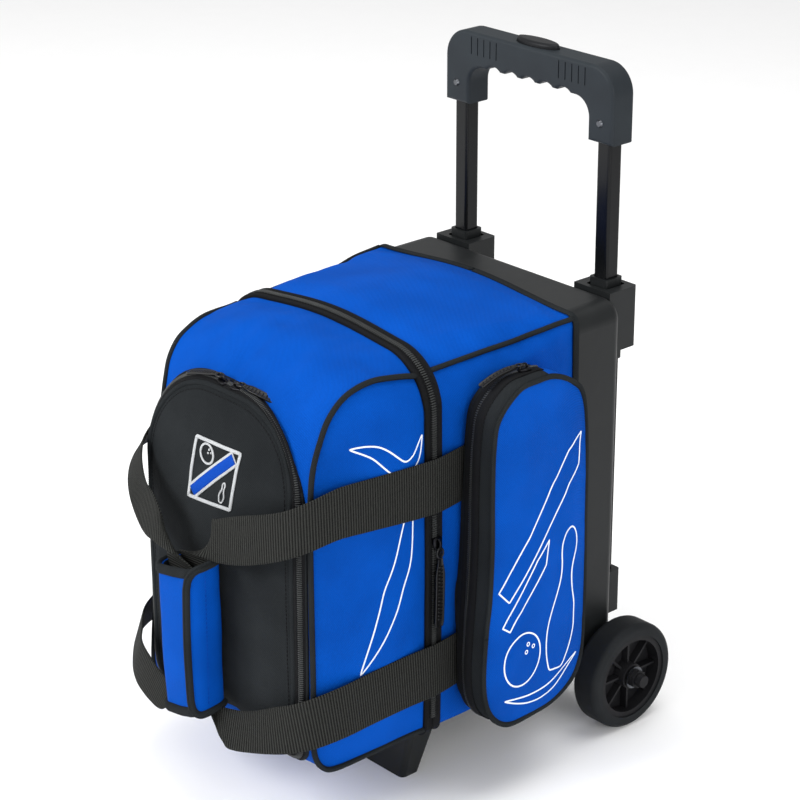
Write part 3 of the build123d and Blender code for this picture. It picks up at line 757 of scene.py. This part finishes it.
# The top piping lies on the skin as it has settled.
on_body = caster(body_skin)
for side, label in ((1, "right"), (-1, "left")):
    outward = np.array((side, 0.0, 1.0)) * math.sqrt(0.5)
    depth = np.linspace(FRAME_Y, BAND_REAR - 1, 40)
    seam = np.array([on_body(corner_point(max(y, BAND_REAR + 1), side, 30), -outward)[0] for y in depth])
    seam += outward * 1.2
    seam[:, 1] = depth
    for _ in range(4):
        seam[1:-1] = (seam[:-2] + 2 * seam[1:-1] + seam[2:]) / 4
    swept(f"top_piping_{label}", seam, circle(2.3), "black_fabric", "bag_body")

settle([(lid_strip, strip), lid_sides[0]], 6.0, 2.2)
settle([lid_sides[1]], 3.0, 1.4)

# ---------------------------------------------------------------- front pocket

on_strip = caster(lid_strip)
IN_FRONT = -260.0
BACKWARDS = (0, 1, 0)


def arch(left, right, low, high, right_radius, left_radius, low_radius):
    """Outline of the front pocket, from its lower left corner, in x and z."""
    return rounded([(-left, low), (right, low), (right, high), (-left, high)],
                   [low_radius, low_radius, right_radius, left_radius], 300)


face_arch = arch(90.0, 99.0, 76, 378.5, 72, 80, 15)
base_arch = arch(101.0, 109.5, 68, 381.0, 90, 76, 22)
face_edge = np.array([(x, -174.2 + 9.5 * ease((z - 296) / 88) + 3.0 * ease((110 - z) / 40), z)
                      for x, z in face_arch])
base_edge = np.array([(x, on_strip((x, IN_FRONT, z), BACKWARDS)[0][1] - 0.4, z) for x, z in base_arch])
for _ in range(40):
    base_edge[:, 1] = (np.roll(base_edge[:, 1], 1) + base_edge[:, 1] * 2 + np.roll(base_edge[:, 1], -1)) / 4
gusset = np.zeros((13, len(base_edge), 3))
for r, t in enumerate(np.linspace(0, 1, len(gusset))):
    ring = mix(base_edge, face_edge, t)
    away = ring - POCKET_INSIDE
    away[:, 1] *= 0.6
    gusset[r] = ring + unit(away) * 2.2 * math.sin(math.pi * t)
panel("pocket_gusset", gusset, "black_fabric", "lid", 2.2, "lining", POCKET_INSIDE, True)
gusset_out = -normals_of(gusset)
if gusset_out[6, 75] @ (gusset[6, 75] - POCKET_INSIDE) < 0:
    gusset_out = -gusset_out
for name, row in (("pocket_tape_outer", 4), ("pocket_tape_inner", 8)):
    swept(name, gusset[row] + gusset_out[row] * 0.2, flat(7.5, 0.9), "zip_tape", "lid", True, gusset_out[row])
for name, row, lift, size, pitch, finish in (
    ("pocket_zip_teeth", 6, 0.7, (1.1, 4.6, 1.2), 1.9, "coil"),
    ("pocket_stitch_outer", 3, 1.1, STITCH, STITCH_PITCH, "thread"),
    ("pocket_stitch_inner", 9, 1.1, STITCH, STITCH_PITCH, "thread"),
):
    beads(name, gusset[row] + gusset_out[row] * lift, gusset_out[row], size, pitch, finish, "lid", True)
swept("pocket_face_piping", face_edge, circle(2.5), "black_fabric", "lid", closed=True)
swept("pocket_base_piping", base_edge, circle(2.0), "black_fabric", "lid", closed=True)

face_grid = filled(face_edge, [(-88, -174, 80), (93, -174, 80), (78, -168, 357.5), (-66.5, -168, 355)], 110, 80)
hill = swell(110, 80, 0.5)
for r in range(110):
    for c in range(80):
        x, y, z = face_grid[r, c]
        height = 5.5 + 1.0 * ruffle((x * 0.8, 0, z * 0.5), 46, 6) + 0.5 * ruffle((x, 0, z), 17, 7)
        face_grid[r, c, 1] -= hill[r, c] * height
pocket_face = panel("pocket_face", face_grid, "black_fabric", "lid", 3.0, "lining", POCKET_INSIDE)
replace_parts(pocket_face, "front_pocket")
settle([(pocket_face, face_grid)], 3.0, 1.2)
on_face = caster(pocket_face)
inner_arch = arch(85.0, 94.0, 81, 373.5, 67, 75, 11)
top_stitch = [on_face((x, IN_FRONT, z), BACKWARDS) for x, z in inner_arch]
beads("pocket_top_stitch", [p + n * 0.1 for p, n in top_stitch], [n for _, n in top_stitch],
      (2.6, 0.7, 0.4), 3.8, "thread", "lid", closed=True)

PIN = [(0, 0), (0, 0.03), (0.005, 0.058), (0.04, 0.08), (0.14, 0.117), (0.25, 0.137), (0.34, 0.137), (0.44, 0.117),
       (0.54, 0.085), (0.62, 0.062), (0.69, 0.053), (0.76, 0.058), (0.83, 0.071), (0.89, 0.074), (0.95, 0.058),
       (0.985, 0.032), (1.0, 0)]


def pin_outline(foot, head):
    """Closed outline of a bowling pin that stands on one point and reaches to another, in y and z."""
    foot, head = np.array(foot, float), np.array(head, float)
    along = head - foot
    across = np.array((along[1], -along[0]))
    right = [foot + along * u + across * w for u, w in PIN]
    left = [foot + along * u - across * w for u, w in PIN[::-1]]
    return spline([(0.0, y, z) for y, z in right + left[1:-1]], 220, closed=True)


# The emblem: a white bordered diamond with a blue band across it, a ball above the band and a pin below it.
EMBLEM = np.array((6.0, IN_FRONT, 308.0))


def sewn(name, points, width, finish="patch", closed=True, lift=0.3, height=0.9):
    """Embroidery on the pocket's face; its points are pairs of x and z from the emblem's middle."""
    points = np.array([(x, 0, z) for x, z in points], float)
    return printed(name, on_face, points, EMBLEM, BACKWARDS, width, finish, "lid", closed, lift, height)


diamond = np.array([(-34, -30), (-23, 27), (35, 29), (22, -25), (-34, -30)], float)
border = sewn("emblem_border", resample(diamond, 120, closed=True), 3.2)
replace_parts(border, "emblem_patch")
sewn("emblem_band_edge", spline([(-28, -24), (0, 0), (28, 23)], 40), 13.5, closed=False)
sewn("emblem_band", spline([(-27.4, -23.5), (0, 0), (27.4, 22.5)], 40), 9.0, "blue_thread", False, 0.9)
sewn("emblem_pin", pin_outline((9.5, -22), (16.5, -2.5))[:, 1:], 1.3)
sewn("emblem_ball", oval((-8, 16), (8.5, 8.5), 48), 2.0)
for index, middle in enumerate(((-5.2, 20.4), (-2.6, 18.2), (-6.6, 17.0))):
    sewn(f"emblem_hole_{index}", oval(middle, (0.6, 0.6), 48), 0.8, height=0.7)

# ---------------------------------------------------------------- side pocket

FACE_OUTLINE = [(-28, 168), (-24, 202), (-22, 250), (-22.5, 295), (-21.5, 340), (-15.5, 365), (7.5, 383), (32, 384.5),
                (53.5, 382), (77.5, 370), (90.5, 353), (95.5, 306), (96.5, 239), (97.5, 142), (91.5, 94), (65.5, 74),
                (28.5, 71), (-2.5, 74), (-22.5, 92), (-30, 122)]
BASE_OUTLINE = [(-17, 168), (-16.5, 202), (-14.5, 250), (-12.5, 295), (-8.5, 340), (-3, 362), (14, 375), (34, 378),
                (55, 377), (77, 368), (90, 350), (96, 306), (97.5, 239), (98, 142), (92, 96), (66, 78),
                (30, 75), (0, 78), (-14, 94), (-18, 124)]
RING = 320


def side_ring(t, bulge):
    """Outline of the side pocket at a share of its depth, from the bag's side out to the face's piping."""
    flat_ring = mix(np.array(BASE_OUTLINE, float), np.array(FACE_OUTLINE, float), t)
    ring = spline([(y, z, 0.0) for y, z in flat_ring], RING, closed=True)[:, :2]
    step = np.roll(ring, -1, axis=0) - np.roll(ring, 1, axis=0)
    away = unit(np.stack([-step[:, 1], step[:, 0]], axis=1))
    ring = ring + away * bulge * math.sin(math.pi * t)
    depth = 50.0 - 7.5 * ease((ring[:, 0] + 25) / 120)
    return np.stack([HALF - 0.5 + depth * t, ring[:, 0], ring[:, 1]], axis=1)


inner_rings = np.stack([side_ring(t, 3.0) for t in np.linspace(0, 0.465, 10)], axis=0)
outer_rings = np.stack([side_ring(t, 3.0) for t in np.linspace(0.475, 1.0, 11)], axis=0)
mid = np.array((140.0, 40.0, 228.0))
whole = side_ring(0.47, 3.0)
step = np.roll(whole, -1, axis=0) - np.roll(whole, 1, axis=0)
ring_out = unit(np.cross(step, (1.0, 0.0, 0.0)))
if (ring_out * (whole - mid) * [0, 1, 1]).sum() < 0:
    ring_out = -ring_out
zip_end_top, zip_end_low = nearest(whole[:, 1:], (56, 384)), nearest(whole[:, 1:], (60, 74))
front, rear = onward(zip_end_low, zip_end_top, RING), onward(zip_end_top, zip_end_low, RING)
for body, rings, part, tape_row, share, stitch_row in (
    ("bag_body", inner_rings, "base", -3, 0.455, -5), ("side_flap", outer_rings, "flap", 2, 0.485, 4),
):
    dark = panel(f"side_{part}_gusset", rings[:, front], "black_fabric", body, 2.4, "lining", mid)
    panel(f"side_{part}_back", rings[:, rear], "blue_fabric", body, 2.4, "lining", mid)
    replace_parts(dark, f"side_pocket_{part}")
    swept(f"side_{part}_tape", rings[tape_row][front] + ring_out[front] * 0.3, flat(9.5, 0.9), "zip_tape", body,
          up=ring_out[front])
    teeth = side_ring(share, 3.0)[front] + ring_out[front]
    beads(f"side_{part}_teeth", teeth, ring_out[front], (1.15, 2.6, 1.2), 2.0, "coil", body)
    beads(f"side_{part}_stitch", rings[stitch_row][front] + ring_out[front] * 0.7, ring_out[front],
          STITCH, STITCH_PITCH, "thread", body)
swept("side_base_piping", side_ring(0.0, 0) + [1.0, 0, 0], circle(2.2), "black_fabric", "bag_body", closed=True)
face_ring = side_ring(1.0, 0)
swept("side_face_piping", face_ring, circle(2.6), "black_fabric", "side_flap", closed=True)
grid = filled(face_ring, [(177, -20, 88), (170, 90, 92), (170, 84, 362), (177, -14, 366)], 110, 56)
hill = swell(110, 56, 0.5)
for r in range(110):
    for c in range(56):
        x, y, z = grid[r, c]
        soft = ruffle((0, y, z * 0.45), 30, 13)
        grid[r, c, 0] += hill[r, c] * (5.0 + 1.3 * soft + 0.7 * ruffle((0, y, z), 14, 5) * (1 - hill[r, c]))
side_face = panel("side_face", grid, "blue_fabric", "side_flap", 3.0, "lining", mid)
settle([(side_face, grid)], 3.0, 1.6)


# White line motifs: slanted bands, a pin and a ball on the pocket, and sweeping streamers on the lid.

def inked(name, cast, points, side, width, body):
    """A white line printed on one side of the bag."""
    outside = np.array((side * 260.0, 0, 0))
    printed(name, cast, points, outside, (-side, 0, 0), width, "print", body, True, 0.1, 0.25)


def streamer(points, width):
    """Closed outline of a band that tapers to both ends of a curve, in y and z."""
    middle = spline([(0.0, y, z) for y, z in points], 90)
    step = np.gradient(middle, axis=0)
    side = unit(np.stack([np.zeros(len(middle)), step[:, 2], -step[:, 1]], axis=1))
    half = width / 2 * np.sin(math.pi * np.linspace(0, 1, len(middle)))[:, None] ** 0.8
    return resample(np.vstack([middle + side * half, (middle - side * half)[::-1]]), 240, closed=True)


def outline(corners):
    """Closed straight-sided outline through corners in y and z."""
    points = np.array([(0.0, y, z) for y, z in corners + corners[:1]])
    return resample(points, 240, closed=True)


on_side = caster(side_face)
ball = np.array([(0, y, z) for y, z in oval((12, 134), (22, 25), 96)])
motifs = [("side_pin", pin_outline((56, 108), (72, 240))), ("side_ball", ball),
          ("side_streamer_low", streamer([(-8, 100), (24, 91), (54, 93), (86, 112)], 9)),
          ("side_band_high", outline([(-16, 206), (-5, 194), (81, 296), (85, 324), (66, 313)])),
          ("side_band_low", outline([(-12, 172), (-4, 166), (38, 216), (42, 238), (27, 224)]))]
for name, line in motifs:
    inked(name, on_side, line, 1, 1.5, "side_flap")
for index, middle in enumerate(((18, 147), (24.5, 143), (16, 140))):
    hole = np.array([(0, y, z) for y, z in oval(middle, (1.5, 1.7), 48)])
    inked(f"side_hole_{index}", on_side, hole, 1, 1.0, "side_flap")
for side, label, (lid_side, _) in ((1, "right", lid_sides[0]), (-1, "left", lid_sides[1])):
    on_lid = caster(lid_side)
    for index, line in enumerate((
        streamer([(-131, 354), (-108, 346), (-84, 326), (-68, 330), (-58, 348)], 14),
        streamer([(-126, 148), (-104, 190), (-84, 240), (-72, 300)], 20),
    )):
        inked(f"lid_streamer_{index}_{label}", on_lid, line, side, 1.5, "lid")

# ---------------------------------------------------------------- zip sliders and their pulls

def squared(value):
    """A sine or cosine that squares a circle off."""
    return np.sign(value) * abs(value) ** 0.55


def slider(name, place, along, up, body):
    """A zip slider: a waisted shoe with a bridge over it that holds the pull."""
    place = np.array(place, float)
    along, up = unit(np.array(along, float)), np.array(up, float)
    steps = np.linspace(-1, 1, 25)
    path = [place + along * s * 6.2 for s in steps]
    width = [(0.62 + 0.38 * ease((s + 1) / 1.2)) * (1 - 0.45 * ease((abs(s) - 0.8) / 0.2)) for s in steps]
    height = [1 - 0.35 * ease((abs(s) - 0.75) / 0.25) for s in steps]
    shoe = [(4.9 * squared(math.cos(a)), 1.9 * squared(math.sin(a))) for a in turn(28)]
    made = swept(name, path, shoe, "slider_metal", body, up=[up] * len(path), scale=np.stack([width, height], axis=1))
    bow = [place + along * 4.4 * math.cos(a) + up * (1.2 + 3.4 * math.sin(a)) for a in np.linspace(0, math.pi, 25)]
    swept(f"{name}_bridge", bow, [(x * 1.5, y) for x, y in circle(1.0, 12)], "slider_metal", body)
    return made


TAB_SECTION = [(-0.88, -1), (0.88, -1), (1, -0.5), (1, 0.6), (0.88, 1), (0.76, 0.62), (0, 0.5), (-0.76, 0.62),
               (-0.88, 1), (-1, 0.6), (-1, -0.5)]


def pull(name, path, up, width, body):
    """A zip pull: an open loop that passes under the bridge, then a dished tab with a rim and cross ribs."""
    path = spline(path, 60)
    up = np.tile(np.array(up, float), (len(path), 1))
    tangents, across, normals = axes_along(path, up=up)
    at_loop, tab_start, ribs_start, ribs_end = 4, 8, 14, -6
    ring = [path[at_loop] + tangents[at_loop] * 4.4 * math.cos(a) + across[at_loop] * width * 0.36 * math.sin(a)
            for a in turn(32)]
    swept(f"{name}_loop", ring, circle(0.85, 10), "pull_metal", body, closed=True)
    t = np.linspace(0, 1, len(path))[tab_start:]
    width_of = 0.5 + 0.5 * ease((t - t[0]) / 0.22) - 0.5 * ease((t - 0.93) / 0.1) ** 2
    section = [(width / 2 * x, 1.05 * y) for x, y in TAB_SECTION]
    made = swept(name, path[tab_start:], section, "pull_metal", body, up=up[tab_start:],
                 scale=np.stack([width_of, np.ones_like(t)], axis=1))
    rib_up = normals[ribs_start:ribs_end]
    ribs = path[ribs_start:ribs_end] + rib_up * 0.5
    beads(f"{name}_ribs", ribs, rib_up, (1.3, width * 0.5, 0.7), 3.1, "pull_metal", body)
    return made


for node, body, place, along, up in (
    ("main_slider", "main_slider", (133.6, -44.2, 246), (0, 0, 1), (1, 0, 0)),
    ("side_slider", "side_slider", (151.2, 37, 386.6), (0, 1, 0.02), (0, 0, 1)),
    ("front_slider_left", "front_slider_left", (-4.0, -158.5, 382.6), (1, 0, 0), (0, -0.15, 1)),
    ("front_slider_right", "front_slider_right", (15.0, -158.5, 382.4), (-1, 0, 0.05), (0, -0.15, 1)),
):
    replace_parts(slider(f"{node}_shoe", place, along, up, body), node)
for node, path, up, width in (
    ("main_pull", [(137.4, -44.4, 243.5), (138.2, -44.6, 232), (138.4, -44.8, 205), (137.6, -45.0, 169)],
     (1, 0, 0), 10.0),
    ("side_pull", [(150.8, 36, 391), (149.8, 26, 391), (148.5, 8, 388.5), (147.2, -8.6, 382.5)], (0, 0.2, 1), 7.5),
    ("front_pull_left", [(-5.4, -158.5, 386.8), (-14, -158.5, 386.6), (-32, -158.5, 382.8), (-52, -158.5, 377.0)],
     (-0.2, -0.15, 1), 7.5),
    ("front_pull_right", [(16.4, -158.5, 386.6), (26, -157.5, 386.2), (41, -154, 383.0), (59, -147, 377.5)],
     (0.25, -0.15, 1), 7.5),
):
    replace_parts(pull(f"{node}_tab", path, up, width, node), node)

# ---------------------------------------------------------------- carry straps and their wrap

# Each strap is given by its lower and upper edges, from under the side pocket to inside the wrap.
STRAPS = {
    "upper_right": (
        [(132.0, -6, 277), (136.2, -42, 275.5), (136.0, -60, 276), (134.5, -85, 277.5), (132, -120, 280),
         (128.8, -148, 281), (121, -172, 275), (106, -187, 267), (85, -194.5, 258), (60, -198, 249), (35, -200, 243),
         (8, -202, 240.5), (-12, -203, 239), (-16, -201.5, 236), (-16, -199, 228), (-17, -198.5, 205),
         (-20, -199, 180), (-23, -200, 150)],
        [(132.0, -6, 327), (136.2, -42, 325.5), (136.0, -60, 325.5), (134.5, -85, 326), (132, -120, 327),
         (128.8, -148, 327), (121.5, -172, 320), (107, -187, 311), (86, -194, 303), (63, -197, 295), (46, -198, 288),
         (34, -198, 282.5), (27, -198, 280), (26, -196, 277), (28, -194, 255), (21, -197, 215), (19, -200, 185),
         (17, -201, 150)],
    ),
    "upper_left": (
        [(-130.2, 16, 277), (-130.6, -4, 277), (-135.4, -42, 276), (-135.6, -62, 276), (-135, -85, 275),
         (-131, -118, 280), (-127, -146, 286), (-119.5, -168, 284), (-105.5, -187, 274), (-86, -200, 260),
         (-62, -206, 241), (-40, -209, 238), (-20, -209, 236), (2, -208.5, 234), (10, -207.5, 230),
         (13, -206.5, 222), (15, -206, 200), (16, -205, 175), (16, -204, 150)],
        [(-130.2, 16, 327), (-130.6, -4, 327), (-135.4, -42, 326), (-135.6, -62, 326), (-132, -85, 322),
         (-121, -118, 321), (-104, -146, 321), (-98, -164, 317), (-90, -180, 310), (-78, -192, 299),
         (-62, -200.5, 286), (-48, -204, 281), (-40, -206, 276), (-35, -206.5, 270), (-33, -205.5, 262),
         (-32, -204, 250), (-30, -203.5, 220), (-27, -203.5, 185), (-25, -203.5, 150)],
    ),
    "lower_right": (
        [(132.0, -8, 104), (136.2, -42, 103), (136.0, -60, 102.5), (134.2, -80, 101.5), (132, -115, 99),
         (129.5, -146, 96), (121.5, -172, 92), (107, -188, 87.5), (89, -197, 83), (71, -203, 79), (58, -206.5, 76.5),
         (49, -208, 76), (43, -207.5, 79), (34, -206, 84), (24, -204.5, 99), (17, -203, 118), (16, -202, 145),
         (16, -201, 165)],
        [(132.0, -8, 154), (136.2, -42, 153), (136.0, -60, 152.5), (134.2, -80, 151.5), (132, -115, 149),
         (130, -146, 146), (122.5, -171, 141), (110, -184, 134.5), (93, -189, 127), (76, -190.5, 118),
         (60, -191, 110), (42, -192, 104), (20, -195, 101), (2, -198, 104), (-10, -200, 112), (-18, -201, 124),
         (-23, -201.5, 146), (-25, -201, 165)],
    ),
    "lower_left": (
        [(-130.2, 14, 104), (-130.6, -4, 104), (-135.4, -42, 103), (-135.6, -62, 102.5), (-134.5, -80, 101.5),
         (-135.5, -115, 106), (-133, -148, 108), (-124.5, -173, 101), (-108, -190, 88), (-90, -200, 81),
         (-71, -206, 78.5), (-56, -209, 77), (-44, -211, 77), (-35, -211.5, 80), (-30, -211, 88), (-28, -210, 102),
         (-27, -208.5, 120), (-26, -207, 145), (-25.5, -206, 165)],
        [(-130.2, 14, 154), (-130.6, -4, 154), (-135.4, -42, 153), (-135.6, -62, 152.5), (-134.5, -80, 151.5),
         (-129, -115, 151), (-120, -148, 144), (-112, -171, 137), (-97, -186, 127), (-86, -195, 121),
         (-68, -199.5, 114), (-50, -203, 109), (-30, -206, 106), (-6, -207.5, 105), (8, -208, 108),
         (13, -207.5, 114), (15, -207, 127), (16, -206.5, 147), (16, -206, 165)],
    ),
}
straps = {}
for name, (low, high) in STRAPS.items():
    straps[name] = ribbon(f"strap_{name}", low, high, "webbing", "bag_body", 1.9, 240)
for side in ("right", "left"):
    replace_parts(straps[f"upper_{side}"], f"carry_strap_{side}")

# The left straps end in a sewn box with a cross, which the pocket hides on the right.
for name, z in (("upper", 302), ("lower", 129)):
    box = [(-10, -20), (14, -20), (14, 20), (-10, 20), (-10, -20), (14, 20), (14, -20), (-10, 20)]
    path = resample([(-131.7, y, z + w) for y, w in box], 300)
    beads(f"strap_{name}_anchor_stitch_left", path, [(-1.0, 0, 0)] * 300, (2.2, 0.8, 0.5), 3.4, "thread", "bag_body")

WRAP_MIDDLE = np.array((-1.0, -203.5))
WRAP_LOW, WRAP_HIGH, WRAP_HALFWAY = 95.0, 231.0, 163
WRAP_ROWS, WRAP_RING = 48, 160
WRAP_INSIDE = (0, -203.5, WRAP_HALFWAY)


def wrap_ring(width, depth, radius):
    """Section of the wrap, starting at the back and going round by the left."""
    half, deep = width / 2, depth / 2
    ring = rounded([(-half, deep), (-half, -deep), (half, -deep), (half, deep)], [radius] * 4, WRAP_RING)
    return np.roll(ring, -nearest(ring, (4, deep)), axis=0) + WRAP_MIDDLE


def wrap_point(xy, z):
    """The wrap leans: its right side hangs higher than its left, and its waist is a little narrower."""
    waist = 1 - 0.06 * math.cos(math.pi * (z - WRAP_HALFWAY) / 150)
    x, y = WRAP_MIDDLE + (np.array(xy) - WRAP_MIDDLE) * (waist, 1 / waist)
    narrower = (4.5 + 0.045 * (WRAP_HIGH - z)) * np.clip(x / 33, 0, 1)
    return (x + 0.035 * (WRAP_HALFWAY - z) - narrower, y, z + 0.2 * x + 0.08 * (y + 203))


def wrap_outward(points):
    """Level directions away from the wrap's middle line."""
    return unit((points - [*WRAP_MIDDLE, 0]) * [1, 1, 0])


heights = np.linspace(WRAP_LOW, WRAP_HIGH, WRAP_ROWS)
ring = wrap_ring(58, 29, 12)
tube = np.array([[wrap_point(p, z) for p in ring] for z in heights])
for r in range(WRAP_ROWS):
    for c in range(WRAP_RING):
        puff = 1.2 * math.sin(math.pi * r / (WRAP_ROWS - 1))
        tube[r, c] += wrap_outward(tube[r, c]) * (0.9 * ruffle(tube[r, c] * [1, 1, 0.5], 24, 14) + puff)
wrap = panel("wrap_sleeve", tube, "blue_fabric", "bag_body", 4.0, "lining", WRAP_INSIDE, True)
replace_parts(wrap, "handle_wrap")
for name, row, inwards in (("wrap_binding_low", 0, 0.9), ("wrap_binding_high", WRAP_ROWS - 1, -0.9)):
    lean = np.gradient(tube, axis=0)[row]
    section = [(3.4 * math.cos(a) * 0.9, 4.6 * math.sin(a)) for a in turn(12)]
    swept(name, tube[row] + lean * inwards, section, "black_fabric", "bag_body", closed=True, up=lean)

# The flap starts at the front, goes round the right side and ends at the back.
lap = onward(nearest(ring, (20, -218)), nearest(ring, (20, -189)), WRAP_RING)
flap_rows = 44
outer = wrap_ring(66, 37, 15)
flap = np.zeros((flap_rows, len(lap), 3))
run = np.linspace(0, 1, len(lap))
for c, k in enumerate(lap):
    corner = 16 * (1 - math.sqrt(max(0.0, 1 - (1 - min(1.0, run[c] / 0.28)) ** 2)))
    for r, t in enumerate(np.linspace(0, 1, flap_rows)):
        z = mix(WRAP_LOW - 1 + corner, WRAP_HIGH + 1 - corner, t)
        point = np.array(wrap_point(outer[k], z))
        puff = 2.2 * math.sin(math.pi * t) * math.sin(math.pi * min(1, run[c] + 0.15))
        flap[r, c] = point + wrap_outward(point) * (puff + 0.8 * ruffle(point, 22, 16))
wrap_flap = panel("wrap_flap", flap, "blue_fabric", "bag_body", 3.6, "lining", WRAP_INSIDE)
border = np.vstack([flap[0, ::-1], flap[1:-1, 0], flap[-1]])
swept("wrap_flap_binding", resample(border, 260), circle(3.5, 12), "black_fabric", "bag_body")
lines = flap[3:-3, int(len(lap) * 0.42)]
radial = (lines - [*WRAP_MIDDLE, 0]) * [1, 1, 0]
beads("wrap_stitch", lines + unit(radial) * 0.3, radial, (2.4, 0.8, 0.4), 4.0, "blue_thread", "bag_body")

# ---------------------------------------------------------------- soft pieces with meshes of their own

# The open lid hangs past the stand to the ground. Its pieces, the front sliders and pulls, the straps and the wrap
# each get a mesh of their own.
for obj in [o for o in bpy.context.scene.objects if o.type == "MESH" and "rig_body" in o]:
    body = obj["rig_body"]
    if body == "lid" or body.startswith(("front_slider", "front_pull")):
        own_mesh(obj)
    elif obj.name.startswith(("strap_", "wrap_")):
        side = -0.142 if obj.name.endswith("_left") else 0.142
        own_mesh(obj)

# ---------------------------------------------------------------- floor, light and camera

def look(azimuth, elevation):
    a, e = math.radians(azimuth), math.radians(elevation)
    return Vector((-math.sin(a) * math.cos(e), math.cos(a) * math.cos(e), -math.sin(e)))


floor_mesh = bpy.data.meshes.new("studio_floor")
floor_mesh.from_pydata([(-6, -6, 0), (6, -6, 0), (6, 6, 0), (-6, 6, 0)], [], [(0, 1, 2, 3)])
floor_mesh.materials.append(moulded("studio_floor", (254, 254, 254), (253, 253, 253), 0.95, 40, 0.01))
floor = bpy.data.objects.new("studio_floor", floor_mesh)
bpy.context.scene.collection.objects.link(floor)

world = bpy.context.scene.world or bpy.data.worlds.new("studio")
bpy.context.scene.world = world
world.use_nodes = True
world.node_tree.nodes["Background"].inputs["Color"].default_value = (1.0, 1.0, 1.0, 1.0)
world.node_tree.nodes["Background"].inputs["Strength"].default_value = 0.6


def lamp(name, place, aim, size, power):
    data = bpy.data.lights.new(name, "AREA")
    data.shape = "RECTANGLE"
    data.size, data.size_y = size
    data.energy = power
    obj = bpy.data.objects.new(name, data)
    obj.location = place
    obj.rotation_euler = (Vector(aim) - Vector(place)).to_track_quat("-Z", "Y").to_euler()
    bpy.context.scene.collection.objects.link(obj)


lamp("key", (-1.2, -2.9, 2.1), (0, 0, 0.25), (1.8, 1.4), 120)
lamp("top", (0.3, 0.3, 3.0), (0, 0, 0.2), (2.2, 2.2), 46)
lamp("right", (2.9, -0.6, 1.1), (0, 0, 0.25), (1.6, 1.6), 42)

camera_data = bpy.data.cameras.new("camera")
camera_data.sensor_width = 36.0
camera_data.lens = 114.57
camera = bpy.data.objects.new("camera", camera_data)
bpy.context.scene.collection.objects.link(camera)
camera.location = (1.5482, -1.3535, 1.1806)
forward = look(48.13, 22.65)
camera.rotation_euler = forward.to_track_quat("-Z", "Y").to_euler()
camera.rotation_euler.rotate_axis("Z", math.radians(-0.14))
bpy.context.scene.camera = camera

scene = bpy.context.scene
scene.view_settings.view_transform = "Standard"
scene.view_settings.look = "None"
